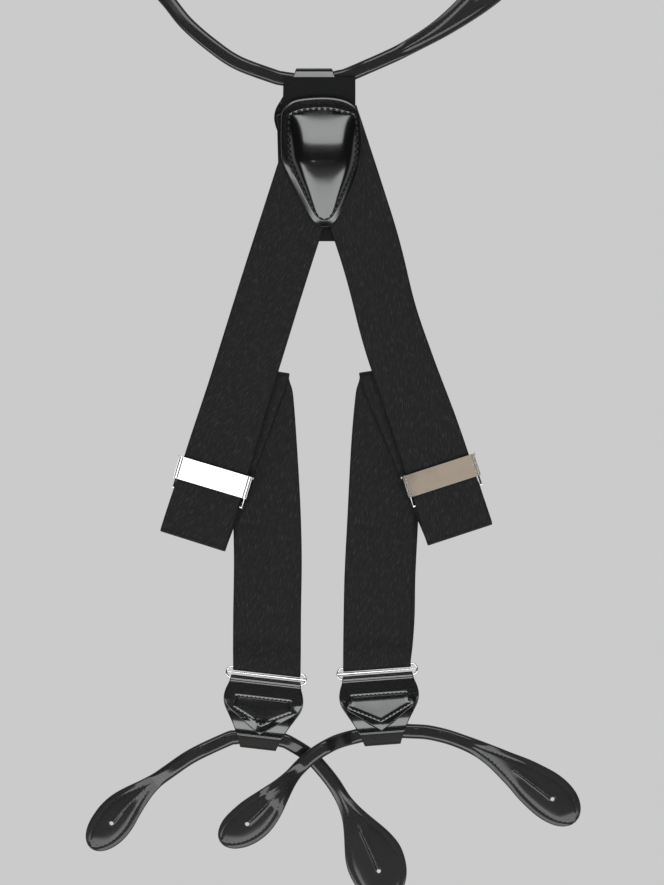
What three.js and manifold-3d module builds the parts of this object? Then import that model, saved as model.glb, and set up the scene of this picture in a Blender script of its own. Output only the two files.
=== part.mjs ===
// Black formal button-on braces (suspenders) with a Y-shaped back, lying folded on a flat surface.
//
// Units are millimetres. +Z is up from the surface, +Y points from the front tabs to the back, and the
// origin is under the middle of the whole piece, on the surface. Each webbing strap runs from the back
// shield through its adjuster, is folded up on itself twice, passes round the front loop and comes back
// to the adjuster. Soft layers that touch on the real braces keep a small air gap here.

import * as THREE from 'three';
import { mergeVertices } from 'three/addons/utils/BufferGeometryUtils.js';
import Module from 'manifold-3d';

const wasm = await Module();
wasm.setup();

// ---- driving dimensions ----

const GAP = 0.35; // air between neighbouring layers
const WEBBING = { width: 34.5, thick: 1.0 };
const ELASTIC = { width: 36.5, thick: 1.3 };
const LEATHER = 0.95; // patent leather of the tabs
const EAR = { width: 7.4, thick: 3.0, lining: 0.8, gap: 0.3, hole: 1.1, slit: 0.6, slitLength: 24 };
const SHIELD = { lining: 0.8, padding: 2.2, leather: 1.1, seam: 3.2 };
const LOOP = { half: 17.4, bend: 2.9, wire: 0.6, bar: 0.85 };
const PLATE = { width: 38.1, height: 11.3, thick: 0.8 };

// Heights of the middle of each webbing layer above the surface, from the bottom of the stack up.
const PITCH = WEBBING.thick + GAP;
const LEVEL = {
  loopBack: WEBBING.thick / 2, // from the front loop back up, behind everything
  loopFront: WEBBING.thick / 2 + PITCH, // the visible lower stretch, down to the front loop
  riseBack: WEBBING.thick / 2 + 2 * PITCH, // between the two folds, under its twin
  riseFront: WEBBING.thick / 2 + 3 * PITCH,
  tail: 7.35, // the end that is sewn round the adjuster's bar
  front: 10.15, // the front stretch, which runs through the adjuster
};
const LOOP_HEIGHT = WEBBING.thick + 0.25 + LOOP.wire; // centre of the front loop's wire
const EAR_HEIGHT = 2.85; // centre of an ear strap where it runs through its tab
const REAR_FOLD = { tab: 1.95, under: 6.65, over: 9.35 }; // levels of the folded elastic
const SHIELD_BASE = 7.6;
const STRAP_END = { left: 9.2, right: 10.55 }; // levels of the two strap ends inside the shield

// ---- colours ----

const MATERIALS = {
  webbing: new THREE.MeshStandardMaterial({ color: 0x1d1d1f, roughness: 0.75, metalness: 0 }),
  elastic: new THREE.MeshStandardMaterial({ color: 0x1f1f1f, roughness: 0.95, metalness: 0 }),
  patent: new THREE.MeshStandardMaterial({ color: 0x0c0c0d, roughness: 0.12, metalness: 0 }),
  lining: new THREE.MeshStandardMaterial({ color: 0x1b1918, roughness: 0.7, metalness: 0 }),
  foam: new THREE.MeshStandardMaterial({ color: 0x5a564f, roughness: 1, metalness: 0 }),
  nickel: new THREE.MeshStandardMaterial({ color: 0xd8d6d2, roughness: 0.12, metalness: 1 }),
};

// ---- small helpers ----

const radians = THREE.MathUtils.degToRad;
const plan = (x, y) => new THREE.Vector2(x, y);
const UP = new THREE.Vector3(0, 0, 1);
const smooth = (value, from, to) => THREE.MathUtils.smoothstep(value, from, to);
const mix = THREE.MathUtils.lerp;

function solidOf(geometry) {
  const bare = new THREE.BufferGeometry();
  bare.setAttribute('position', geometry.getAttribute('position').clone());
  if (geometry.index) bare.setIndex(geometry.index.clone());
  const merged = mergeVertices(bare, 1e-4);
  const mesh = new wasm.Mesh({
    numProp: 3,
    vertProperties: new Float32Array(merged.getAttribute('position').array),
    triVerts: new Uint32Array(merged.index.array),
  });
  return new wasm.Manifold(mesh);
}

function geometryOf(solid) {
  const mesh = solid.getMesh();
  const geometry = new THREE.BufferGeometry();
  geometry.setAttribute('position', new THREE.BufferAttribute(new Float32Array(mesh.vertProperties), 3));
  geometry.setIndex(new THREE.BufferAttribute(new Uint32Array(mesh.triVerts), 1));
  return geometry;
}

const union = (...geometries) => geometryOf(geometries.map(solidOf).reduce((a, b) => a.add(b)));
const cut = (geometry, ...tools) => geometryOf(tools.map(solidOf).reduce((a, b) => a.subtract(b), solidOf(geometry)));
const common = (a, b) => geometryOf(solidOf(a).intersect(solidOf(b)));

// Joins sections with the same number of points into one closed skin, with flat ends unless it is a ring.
function loft(sections, ring = false) {
  const count = sections[0].length;
  const positions = sections.flat().flatMap((point) => [point.x, point.y, point.z]);
  const index = [];
  const last = ring ? sections.length : sections.length - 1;
  for (let i = 0; i < last; i += 1) {
    const here = i * count;
    const next = ((i + 1) % sections.length) * count;
    for (let j = 0; j < count; j += 1) {
      const k = (j + 1) % count;
      index.push(here + j, here + k, next + k, here + j, next + k, next + j);
    }
  }
  if (!ring) {
    const end = (sections.length - 1) * count;
    for (let j = 1; j < count - 1; j += 1) {
      index.push(0, j + 1, j, end, end + j, end + j + 1);
    }
  }
  const geometry = new THREE.BufferGeometry();
  geometry.setAttribute('position', new THREE.Float32BufferAttribute(positions, 3));
  geometry.setIndex(index);
  return geometry;
}

function polygon(points) {
  return new THREE.Shape(points.map(([x, y]) => plan(x, y)));
}

// A flat outline in x and y, from one height to another.
function slab(shape, low, high, curveSegments = 8) {
  const geometry = new THREE.ExtrudeGeometry(shape, { depth: high - low, bevelEnabled: false, curveSegments });
  return geometry.translate(0, 0, low);
}

// A side profile drawn with y along the piece and z up, stretched across x.
function across(shape, left, right, curveSegments = 8) {
  const geometry = new THREE.ExtrudeGeometry(shape, { depth: right - left, bevelEnabled: false, curveSegments });
  const turn = new THREE.Matrix4().makeBasis(
    new THREE.Vector3(0, 1, 0), new THREE.Vector3(0, 0, 1), new THREE.Vector3(1, 0, 0));
  return geometry.applyMatrix4(turn).translate(left, 0, 0);
}

function rodAcross(radius, left, right, y, z, sides = 12) {
  const rod = new THREE.CylinderGeometry(radius, radius, right - left, sides);
  return rod.rotateZ(Math.PI / 2).translate((left + right) / 2, y, z);
}

function named(name, geometry, material) {
  const mesh = new THREE.Mesh(geometry, material);
  mesh.name = name;
  return mesh;
}

function placed(x, y, z, tilt, ...pieces) {
  const group = new THREE.Group();
  group.position.set(x, y, z);
  group.rotation.z = radians(tilt);
  group.add(...pieces);
  return group;
}

// ---- bands: webbing and elastic ----

// One place along a band: its middle, the direction across it, its face's normal and its half width.
function station(point, height, acrossTheBand, normal, half) {
  return { middle: new THREE.Vector3(point.x, point.y, height), side: acrossTheBand, normal, half };
}

function bandSolid(stations, thick) {
  return loft(stations.map(({ middle, side, normal, half }) => {
    const edge = side.clone().multiplyScalar(half);
    const face = normal.clone().multiplyScalar(thick / 2);
    return [
      middle.clone().sub(edge).sub(face),
      middle.clone().add(edge).sub(face),
      middle.clone().add(edge).add(face),
      middle.clone().sub(edge).add(face),
    ];
  }));
}

// A stretch that lies flat along a curve. firstSide and lastSide are the fold lines at its ends, and the
// band turns from one to square across its own run, and on to the other.
function stretch(points, heights, facing, { firstSide, lastSide, steps = 10, halfAt, easing = 16 }) {
  const curve = new THREE.SplineCurve(points);
  const length = curve.getLength();
  const normal = UP.clone().multiplyScalar(facing);
  const flip = Math.sign(firstSide ? firstSide.x : lastSide.x);
  return Array.from({ length: steps + 1 }, (_, i) => {
    const share = i / steps;
    const run = share * length;
    const tangent = curve.getTangentAt(share);
    const square = new THREE.Vector3(-tangent.y, tangent.x, 0);
    if (Math.sign(square.x) !== flip) square.negate();
    if (firstSide) square.lerp(firstSide, 1 - smooth(run, 0, easing));
    if (lastSide) square.lerp(lastSide, 1 - smooth(length - run, 0, easing));
    return station(curve.getPointAt(share), heights(share, run, length), square.normalize(), normal, halfAt(share));
  });
}

// A half turn about a line across the band. outward points away from the band's run, and startFacing is
// +1 when the band's face looks up as it goes in.
function fold(point, side, outward, fromHeight, toHeight, startFacing, half, steps = 6) {
  const radius = Math.abs(toHeight - fromHeight) / 2;
  const middle = (toHeight + fromHeight) / 2;
  const direction = Math.sign(fromHeight - toHeight);
  const outerFace = direction * startFacing;
  return Array.from({ length: steps - 1 }, (_, i) => {
    const angle = ((i + 1) / steps) * Math.PI;
    const place = plan(point.x + outward.x * radius * Math.sin(angle), point.y + outward.y * radius * Math.sin(angle));
    const normal = new THREE.Vector3(outward.x * Math.sin(angle), outward.y * Math.sin(angle), direction * Math.cos(angle));
    normal.multiplyScalar(outerFace);
    return station(place, middle + direction * radius * Math.cos(angle), side, normal, half);
  });
}

// A fold line: where it lies, how far it is turned from the x axis, and which way the fold points.
function foldLine(x, y, tilt, pointsUp) {
  const side = new THREE.Vector3(Math.cos(radians(tilt)), Math.sin(radians(tilt)), 0);
  const outward = new THREE.Vector3(-side.y, side.x, 0).multiplyScalar(pointsUp ? 1 : -1);
  return { point: plan(x, y), side, outward };
}

// Each strap, as it lies: its end inside the shield, its bends, and its fold lines. The cupping is the
// share of the full width that the band's curl leaves it, from the shield down to the bottom fold.
const STRAPS = {
  left: {
    shieldEnd: plan(-3.6, 154.2),
    bends: [plan(-25.6, 86.7), plan(-40.8, 38.0)],
    bottom: foldLine(-69.4, -54.2, -17.5, false),
    top: foldLine(-38.9, 27.5, -9.0, true),
    lower: [plan(-36.8, 13.7), plan(-34.7, -15.2), plan(-33.2, -42.6), plan(-32.6, -67.4), plan(-33.0, -97.9)],
    loop: { x: -33.4, y: -126.4, tilt: -6.5 },
    cupping: [[0, 0.94], [0.3, 0.925], [0.62, 0.93], [0.84, 0.97], [1, 1]],
    backShift: 0,
    endLevel: STRAP_END.left,
  },
  right: {
    shieldEnd: plan(-2.9, 157.6),
    bends: [plan(18.2, 92.8), plan(30.2, 48.0), plan(47.0, 0.0)],
    bottom: foldLine(63.7, -51.0, 18.2, false),
    top: foldLine(31.1, 27.7, 8.6, true),
    lower: [plan(29.0, 13.7), plan(26.9, -10.6), plan(25.0, -47.2), plan(23.6, -75.0), plan(23.1, -98.0)],
    loop: { x: 23.0, y: -124.2, tilt: 4.2 },
    cupping: [[0, 0.93], [0.26, 0.92], [0.44, 0.885], [0.6, 0.92], [0.84, 0.965], [1, 1]],
    backShift: 1.6,
    endLevel: STRAP_END.right,
  },
};
const TAIL_STUB = 2.0; // what is left of the last stretch above the bottom fold

function shareAt(table, share) {
  const next = Math.max(1, table.findIndex(([place]) => place >= share));
  const [from, low] = table[next - 1];
  const [to, high] = table[next];
  return mix(low, high, smooth(share, from, to));
}

// The middle of the front loop's wire that the webbing goes round.
function loopFold({ x, y, tilt }) {
  const line = foldLine(x, y, tilt, false);
  line.point.x -= line.outward.x * LOOP.bend;
  line.point.y -= line.outward.y * LOOP.bend;
  return line;
}

function webbing(strap) {
  const half = WEBBING.width / 2;
  const full = () => half;
  const { bottom, top } = strap;
  const loop = loopFold(strap.loop);
  const shifted = strap.lower.map((point) => plan(point.x + strap.backShift, point.y));
  const opening = LOOP_HEIGHT + LOOP.wire + 0.25 + WEBBING.thick / 2;
  const frontPoints = [strap.shieldEnd, ...strap.bends, bottom.point];
  const frontHeight = (share, run, length) => mix(strap.endLevel, LEVEL.front, smooth(run, 20, length * 0.5));
  const reach = plan(bottom.point.x - bottom.outward.x * TAIL_STUB, bottom.point.y - bottom.outward.y * TAIL_STUB);
  return bandSolid([
    ...stretch(frontPoints, frontHeight, 1, {
      lastSide: bottom.side, steps: 24, halfAt: (share) => half * shareAt(strap.cupping, share),
    }),
    ...fold(bottom.point, bottom.side, bottom.outward, LEVEL.front, LEVEL.riseBack, 1, half, 10),
    ...stretch([bottom.point, top.point], () => LEVEL.riseBack, -1, {
      firstSide: bottom.side, lastSide: top.side, steps: 8, halfAt: full,
    }),
    ...fold(top.point, top.side, top.outward, LEVEL.riseBack, LEVEL.loopFront, -1, half, 6),
    ...stretch([top.point, ...strap.lower, loop.point], (share, run, length) => (
      mix(LEVEL.loopFront, opening, smooth(run, length - 16, length - 5))), 1, {
      firstSide: top.side, lastSide: loop.side, steps: 22, halfAt: full,
    }),
    ...fold(loop.point, loop.side, loop.outward, opening, LEVEL.loopBack, 1, half, 8),
    ...stretch([loop.point, ...shifted.reverse(), top.point], () => LEVEL.loopBack, -1, {
      firstSide: loop.side, lastSide: top.side, steps: 18, halfAt: full,
    }),
    ...fold(top.point, top.side, top.outward, LEVEL.loopBack, LEVEL.riseFront, -1, half, 8),
    ...stretch([top.point, bottom.point], () => LEVEL.riseFront, 1, {
      firstSide: top.side, lastSide: bottom.side, steps: 8, halfAt: full,
    }),
    ...fold(bottom.point, bottom.side, bottom.outward, LEVEL.riseFront, LEVEL.tail, 1, half, 6),
    ...stretch([bottom.point, reach], () => LEVEL.tail, -1, {
      firstSide: bottom.side, steps: 1, halfAt: full,
    }),
  ], WEBBING.thick);
}

// The short back elastic: out of the shield, folded back over the rear tab, and folded again into it.
const ELASTIC_RUN = { x: -6.4, shieldEnd: 162.6, topFold: 175.1, bottomFold: 97.2, tabEnd: 158.6, tabX: -9.8 };

function elastic() {
  const half = ELASTIC.width / 2;
  const sizes = { halfAt: () => half, steps: 4 };
  const over = foldLine(ELASTIC_RUN.x, ELASTIC_RUN.topFold, 0, true);
  const under = foldLine(mix(ELASTIC_RUN.x, ELASTIC_RUN.tabX, 0.6), ELASTIC_RUN.bottomFold, 0, false);
  const start = plan(ELASTIC_RUN.x, ELASTIC_RUN.shieldEnd);
  const end = plan(ELASTIC_RUN.tabX, ELASTIC_RUN.tabEnd);
  return bandSolid([
    ...stretch([end, under.point], () => REAR_FOLD.tab, 1, { ...sizes, lastSide: under.side }),
    ...fold(under.point, under.side, under.outward, REAR_FOLD.tab, REAR_FOLD.under, 1, half, 10),
    ...stretch([under.point, over.point], () => REAR_FOLD.under, -1, {
      ...sizes, steps: 6, firstSide: under.side, lastSide: over.side,
    }),
    ...fold(over.point, over.side, over.outward, REAR_FOLD.under, REAR_FOLD.over, -1, half, 8),
    ...stretch([over.point, start], () => REAR_FOLD.over, 1, { ...sizes, firstSide: over.side }),
  ], ELASTIC.thick);
}

// ---- ear straps ----

// An ear strap: a rolled strap that runs through its tab on an arc, and opens at both ends into a flat
// leaf with a buttonhole. Points run from the left leaf's tip to the right leaf's tip.
const EARS = {
  left: {
    arc: { x: -40.2, y: -205.5, radius: 48.8, from: 105, to: 68 },
    before: [[-122.8, -213.9], [-113.6, -203.3], [-105.3, -193.2], [-94.6, -183.6], [-82.8, -174.8], [-70.2, -166.4]],
    after: [[-12.1, -166.5], [-6.0, -172.6], [0.7, -181.0], [6.3, -190.2], [12.2, -200.4],
      [19.0, -213.8], [23.7, -225.4], [27.2, -241.8]],
    leaves: [
      { share: 0.77, lift: 2.4, from: 54, flat: 76, growth: 1.05, widest: 0.64 },
      { share: 1.12, lift: 0, from: 51, flat: 72, growth: 1.3, widest: 0.64 },
    ],
  },
  right: {
    arc: { x: 33.7, y: -238.0, radius: 83.75, from: 105, to: 86 },
    before: [[-57.0, -210.6], [-50.6, -206.7], [-42.1, -201.0], [-34.6, -194.0], [-27.6, -185.9], [-21.9, -178.7],
      [-16.2, -171.9], [-9.2, -165.7], [0.7, -160.0]],
    after: [[48.2, -154.9], [57.0, -156.7], [65.7, -159.6], [74.4, -163.3], [82.0, -167.5], [88.8, -171.9],
      [96.2, -176.9], [102.4, -181.6], [109.0, -186.6], [115.6, -192.3], [123.8, -200.6]],
    leaves: [
      { share: 0.8, lift: 8.5, from: 48, flat: 72, growth: 1.05, widest: 0.64 },
      { share: 0.89, lift: 2.4, from: 30, flat: 78, growth: 1.75, widest: 0.76 },
    ],
  },
  rear: {
    arc: { x: -12.1, y: 243.2, radius: 67.5, from: 255, to: 288 },
    before: [[-118.6, 250.0], [-108.5, 241.8], [-98.9, 233.2], [-90.8, 224.6], [-83.1, 216.3], [-73.8, 204.8],
      [-60.6, 193.3], [-47.5, 184.6]],
    after: [[26.3, 186.5], [37.2, 191.8], [53.4, 201.3], [67.3, 211.6], [80.1, 222.7], [91.3, 233.7], [101.4, 245.6]],
    leaves: [
      { share: 0.9, lift: 2.6, from: 92, flat: 114, growth: 1.05, widest: 0.64 },
      { share: 0.66, lift: 2.6, from: 26, flat: 100, growth: 2.0, widest: 0.8 },
    ],
  },
};
const LEAF = { half: 13.2, tip: 0.8, thick: 2.4, height: 1.2, roundness: 2.3, holeFromTip: 16.5 };
const SLIDING_RUN = 14; // either side of the tab an ear strap keeps its arc and height

function earCurve({ arc, before, after }) {
  const turns = 8;
  const round = Array.from({ length: turns + 1 }, (_, i) => {
    const angle = radians(mix(arc.from, arc.to, i / turns));
    return plan(arc.x + arc.radius * Math.cos(angle), arc.y + arc.radius * Math.sin(angle));
  });
  const points = [...before.map(([x, y]) => plan(x, y)), ...round, ...after.map(([x, y]) => plan(x, y))];
  const curve = new THREE.SplineCurve(points);
  curve.arcLengthDivisions = 600;
  return curve;
}

// Half the width of the ear strap at a distance from the tab, on the side of one leaf.
function earHalfWidth(run, length, leaf) {
  const strap = EAR.width / 2;
  if (run <= leaf.from) return strap;
  const place = (run - leaf.from) / (length - leaf.from);
  const widest = LEAF.half * leaf.share;
  if (place < leaf.widest) return mix(strap, widest, smooth(place, 0, leaf.widest * 1.02) ** leaf.growth);
  const towardsTip = (place - leaf.widest) / (1 - leaf.widest);
  return Math.max(LEAF.tip, widest * Math.sqrt(1 - towardsTip ** LEAF.roundness));
}

// How far the strap has opened from its rolled section into the flat leaf, from 0 to 1.
const opening = (run, leaf) => smooth(run, Math.max(leaf.from, 46) - 4, Math.max(leaf.from, 46) + 16);

function earHeight(run, leaf) {
  const arch = leaf.lift * smooth(run, SLIDING_RUN, 30) * (1 - smooth(run, 44, leaf.flat));
  const rest = mix(EAR_HEIGHT, EAR.thick / 2, smooth(run, SLIDING_RUN, 28));
  return mix(rest, LEAF.height, opening(run, leaf)) + arch;
}

// The two layers of an ear strap share their run: bottom and top give each layer's share of the section.
function earStations(ear) {
  const curve = earCurve(ear);
  const length = curve.getLength();
  const tab = tabShare(ear, curve);
  const steps = 84;
  return Array.from({ length: steps + 1 }, (_, i) => {
    const share = (1 - Math.cos((i / steps) * Math.PI)) / 2;
    const even = i / steps;
    const eased = mix(even, share, 0.45);
    const side = eased < tab ? 0 : 1;
    const run = Math.abs(eased - tab) * length;
    const whole = (side === 0 ? tab : 1 - tab) * length;
    const leaf = ear.leaves[side];
    const tangent = curve.getTangentAt(eased);
    return {
      point: curve.getPointAt(eased),
      side: new THREE.Vector3(-tangent.y, tangent.x, 0),
      half: earHalfWidth(run, whole, leaf),
      height: earHeight(run, leaf),
      thick: mix(EAR.thick, LEAF.thick, opening(run, leaf)),
    };
  });
}

// Where along the curve, from 0 to 1, the ear strap is in the middle of its tab.
function tabShare({ arc }, curve) {
  const angle = radians((arc.from + arc.to) / 2);
  const middle = plan(arc.x + arc.radius * Math.cos(angle), arc.y + arc.radius * Math.sin(angle));
  const places = Array.from({ length: 401 }, (_, i) => i / 400);
  return places.reduce((best, place) => (
    curve.getPointAt(place).distanceTo(middle) < curve.getPointAt(best).distanceTo(middle) ? place : best), 0);
}

function earLayer(stations, isLining) {
  return loft(stations.map(({ point, side, half, height, thick }) => {
    const low = height - thick / 2 + (isLining ? 0 : EAR.lining + EAR.gap);
    const high = isLining ? height - thick / 2 + EAR.lining : height + thick / 2;
    const reach = isLining ? half - 0.25 : half;
    const shoulder = isLining ? 0.98 : 0.62;
    const profile = [[-1, 0], [-shoulder * 0.94, 0], [shoulder * 0.94, 0], [1, 0], [1, 0.35], [shoulder, 1],
      [-shoulder, 1], [-1, 0.35]];
    return profile.map(([sideways, upwards]) => new THREE.Vector3(
      point.x + side.x * reach * sideways, point.y + side.y * reach * sideways, mix(low, high, upwards)));
  }));
}

// The buttonhole: a round hole and a slit from it towards the tab.
function buttonholeTools(ear) {
  const curve = earCurve(ear);
  const length = curve.getLength();
  return [LEAF.holeFromTip / length, 1 - LEAF.holeFromTip / length].flatMap((share, side) => {
    const towards = side === 0 ? 1 : -1;
    const hole = curve.getPointAt(share);
    const far = curve.getPointAt(share + (towards * EAR.slitLength) / length);
    const angle = Math.atan2(far.y - hole.y, far.x - hole.x);
    const round = new THREE.CylinderGeometry(EAR.hole, EAR.hole, 12, 12).rotateX(Math.PI / 2);
    const slit = new THREE.BoxGeometry(EAR.slitLength, EAR.slit, 12).translate(EAR.slitLength / 2, 0, 0);
    const tool = union(round, slit.rotateZ(angle));
    return [tool.translate(hole.x, hole.y, 4)];
  });
}

function earPieces(name, ear) {
  const stations = earStations(ear);
  const tools = buttonholeTools(ear);
  return [
    named(`${name}_ear_strap`, cut(earLayer(stations, false), ...tools), MATERIALS.patent),
    named(`${name}_ear_lining`, cut(earLayer(stations, true), ...tools), MATERIALS.lining),
  ];
}

// ---- tabs ----

// In a tab's own frame x runs along its loop and -y points to its ear strap. The loop's middle is at 0.
const TAB = { shoulder: 17.4, bulge: 20.4, waist: 12.8, neck: 9.4, neckEnd: -37.4, point: -29.8 };
const WIRE_Y = -LOOP.bend;
const EAR_ROOM = { low: 1.0, high: 4.7, from: -26.2, to: -36.55 };

function tabOutline(top) {
  const shape = new THREE.Shape();
  shape.moveTo(-TAB.shoulder, top);
  shape.quadraticCurveTo(-TAB.bulge - 1.6, -9.5, -TAB.bulge + 0.2, -13.5);
  shape.quadraticCurveTo(-TAB.bulge + 2.2, -17.5, -TAB.waist, -27.5);
  shape.quadraticCurveTo(-TAB.waist + 1.4, -31.0, -TAB.neck - 0.5, -34.5);
  shape.lineTo(-TAB.neck + 0.5, TAB.neckEnd);
  shape.lineTo(TAB.neck - 0.5, TAB.neckEnd);
  shape.lineTo(TAB.neck + 0.5, -34.5);
  shape.quadraticCurveTo(TAB.waist - 1.4, -31.0, TAB.waist, -27.5);
  shape.quadraticCurveTo(TAB.bulge - 2.2, -17.5, TAB.bulge - 0.2, -13.5);
  shape.quadraticCurveTo(TAB.bulge + 1.6, -9.5, TAB.shoulder, top);
  return shape;
}

// The body of a tab: one leather piece whose neck turns under and comes back, which leaves a tunnel for
// the ear strap. front and back are the undersides of its two layers where they are sewn together.
function tabBody(front, back, top) {
  const { low, high, from, to } = EAR_ROOM;
  const under = low - LEATHER;
  const side = polygon([
    [top, front], [-22.0, front], [from + 0.2, high], [to + 0.7, high], [to, high - 0.7], [to, low + 0.7],
    [to + 0.7, low], [from + 0.2, low], [-22.8, back + LEATHER], [top, back + LEATHER],
    [top, back], [-22.4, back], [from - 0.2, under], [TAB.neckEnd + 1.3, under], [TAB.neckEnd, under + 1.3],
    [TAB.neckEnd, high + LEATHER - 1.3], [TAB.neckEnd + 1.3, high + LEATHER], [from, high + LEATHER],
    [-21.6, front + LEATHER], [top, front + LEATHER],
  ]);
  return common(slab(tabOutline(top), -1, 8, 6), across(side, -25, 25));
}

// The pointed flap that is folded over the loop's lower wire and sewn through the body.
function tabFlap() {
  const inner = LOOP.wire + 0.3;
  const outer = inner + LEATHER;
  const z = LOOP_HEIGHT;
  const over = 3.75; // underside of the front leg
  const shape = new THREE.Shape();
  shape.moveTo(WIRE_Y, z - outer);
  shape.absarc(WIRE_Y, z, outer, -Math.PI / 2, Math.PI / 2, false);
  shape.lineTo(-7.6, over + LEATHER);
  shape.lineTo(-20.8, over + LEATHER);
  shape.lineTo(-25.8, 5.95 + LEATHER);
  shape.lineTo(-31, 5.95 + LEATHER);
  shape.lineTo(-31, 5.95);
  shape.lineTo(-26.2, 5.95);
  shape.lineTo(-21.2, over);
  shape.lineTo(-8.0, over);
  shape.lineTo(WIRE_Y, z + inner);
  shape.absarc(WIRE_Y, z, inner, Math.PI / 2, -Math.PI / 2, true);
  shape.lineTo(WIRE_Y - 4, 1.0);
  shape.lineTo(-21.5, 1.0);
  shape.lineTo(-21.5, 1.0 - LEATHER);
  shape.lineTo(WIRE_Y - 4, 1.0 - LEATHER);
  const outline = new THREE.Shape();
  outline.moveTo(-TAB.shoulder, 1);
  outline.quadraticCurveTo(-TAB.bulge, -9.5, -18.3, -14.0);
  outline.quadraticCurveTo(-17.9, -17.4, -15.6, -19.2);
  outline.lineTo(0, TAB.point);
  outline.lineTo(15.6, -19.2);
  outline.quadraticCurveTo(17.9, -17.4, 18.3, -14.0);
  outline.quadraticCurveTo(TAB.bulge, -9.5, TAB.shoulder, 1);
  return common(slab(outline, -1, 9, 6), across(shape, -25, 25, 5));
}

// The pointed facing sewn on the rear tab, over the end of the elastic.
function rearFacing() {
  const shape = new THREE.Shape();
  shape.moveTo(-TAB.shoulder, -6.4);
  shape.quadraticCurveTo(-TAB.bulge + 0.6, -10, -18.0, -13.5);
  shape.lineTo(0, -22.0);
  shape.lineTo(18.0, -13.5);
  shape.quadraticCurveTo(TAB.bulge - 0.6, -10, TAB.shoulder, -6.4);
  return slab(shape, 4.25, 4.25 + LEATHER, 6);
}

// ---- the front loop ----

function ovalWire(half, bend, radius, sides = 10) {
  const stations = [];
  const turns = 10;
  for (const end of [1, -1]) {
    for (let i = 0; i <= turns; i += 1) {
      const angle = end * (Math.PI / 2) - (i / turns) * Math.PI;
      stations.push([end * half + bend * Math.cos(angle), bend * Math.sin(angle), angle]);
    }
  }
  return loft(stations.map(([x, y, angle]) => Array.from({ length: sides }, (_, i) => {
    const around = (i / sides) * Math.PI * 2;
    const outwards = radius * Math.cos(around);
    return new THREE.Vector3(x + outwards * Math.cos(angle), y + outwards * Math.sin(angle), radius * Math.sin(around));
  })), true);
}

function frontLoop() {
  const reach = LOOP.half + LOOP.bend;
  return union(ovalWire(LOOP.half, LOOP.bend, LOOP.wire), rodAcross(LOOP.bar, -reach, reach, 0, 0));
}

// ---- the adjuster ----

// In an adjuster's own frame x runs across the strap, y along it towards the shield, and z is measured
// from the middle of the webbing that runs through it.
const PIVOT = { y: 5.2, z: 1.15, pin: 0.34, clearance: 0.64 };
const CHEEK = { inner: 17.6, thick: 0.5 };
const SEW_BAR = { y: -10.6, z: LEVEL.tail - LEVEL.front, radius: 0.7, half: 18.0 };

function adjusterFrame() {
  const cheekSide = polygon([[-5.4, -2.2], [4.6, -2.3], [5.9, -1.4], [6.05, 1.4], [5.7, 1.96], [4.6, 1.96],
    [3.9, 1.4], [-4.4, 1.4], [-5.6, 0.4]]);
  const outside = CHEEK.inner + CHEEK.thick;
  const hole = rodAcross(PIVOT.clearance, -25, 25, PIVOT.y, PIVOT.z, 12);
  const cheeks = [[-outside, -CHEEK.inner], [CHEEK.inner, outside]].map(([a, b]) => across(cheekSide, a, b));
  const sides = [-1, 1].map((way) => {
    const path = new THREE.CatmullRomCurve3([
      new THREE.Vector3(way * 17.9, -3.6, -1.5), new THREE.Vector3(way * 18.0, -7.0, -2.1),
      new THREE.Vector3(way * SEW_BAR.half, SEW_BAR.y, SEW_BAR.z)]);
    const round = new THREE.Shape().absarc(0, 0, 0.5, 0, Math.PI * 2);
    return new THREE.ExtrudeGeometry(round, { steps: 6, extrudePath: path, curveSegments: 4 });
  });
  const backBar = rodAcross(0.75, -CHEEK.inner - 0.2, CHEEK.inner + 0.2, 3.4, -1.6);
  const sewBar = rodAcross(SEW_BAR.radius, -SEW_BAR.half - 0.4, SEW_BAR.half + 0.4, SEW_BAR.y, SEW_BAR.z);
  return cut(union(...cheeks, ...sides, backBar, sewBar), hole);
}

// The polished front plate is the locking lever: side walls carry it on the pins, and a toothed edge under
// it bites the webbing when it is shut.
function adjusterLever() {
  const half = PLATE.width / 2;
  const face = { low: 2.3, high: 2.3 + PLATE.thick };
  const plate = slab(polygon([[-half, -PLATE.height / 2], [half, -PLATE.height / 2], [half, PLATE.height / 2],
    [-half, PLATE.height / 2]]), face.low, face.high);
  const beads = [-1, 1].flatMap((way) => [17.3, 18.55].map((place) => (
    new THREE.CylinderGeometry(0.38, 0.38, PLATE.height - 0.2, 10).translate(way * place, 0, face.high))));
  const wallSide = polygon([[-4.6, 2.5], [-4.6, 1.2], [3.4, 0.9], [4.3, 0.15], [5.8, 0.15], [6.15, 0.6],
    [6.15, 1.6], [5.6, 2.5]]);
  const walls = [[-half, -half + 0.65], [half - 0.65, half]].map(([a, b]) => across(wallSide, a, b));
  const teeth = across(polygon([[3.3, 2.5], [3.9, 0.9], [4.3, 0.9], [4.5, 2.5]]), -16.6, 16.6);
  const notches = Array.from({ length: 12 }, (_, i) => (
    new THREE.BoxGeometry(1.1, 3, 0.9).translate(-15.4 + i * 2.8, 4, 0.85)));
  const hole = rodAcross(PIVOT.clearance, -25, 25, PIVOT.y, PIVOT.z, 12);
  const comb = cut(teeth, ...notches);
  return cut(union(plate, ...beads, ...walls, comb), hole);
}

function adjusterPin(way) {
  const shaft = rodAcross(PIVOT.pin, 17.65, 19.5, PIVOT.y, PIVOT.z, 10);
  const head = rodAcross(0.9, 19.4, 19.85, PIVOT.y, PIVOT.z, 12);
  const pin = union(shaft, head);
  return way > 0 ? pin : pin.rotateZ(Math.PI).translate(0, 2 * PIVOT.y, 0);
}

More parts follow.
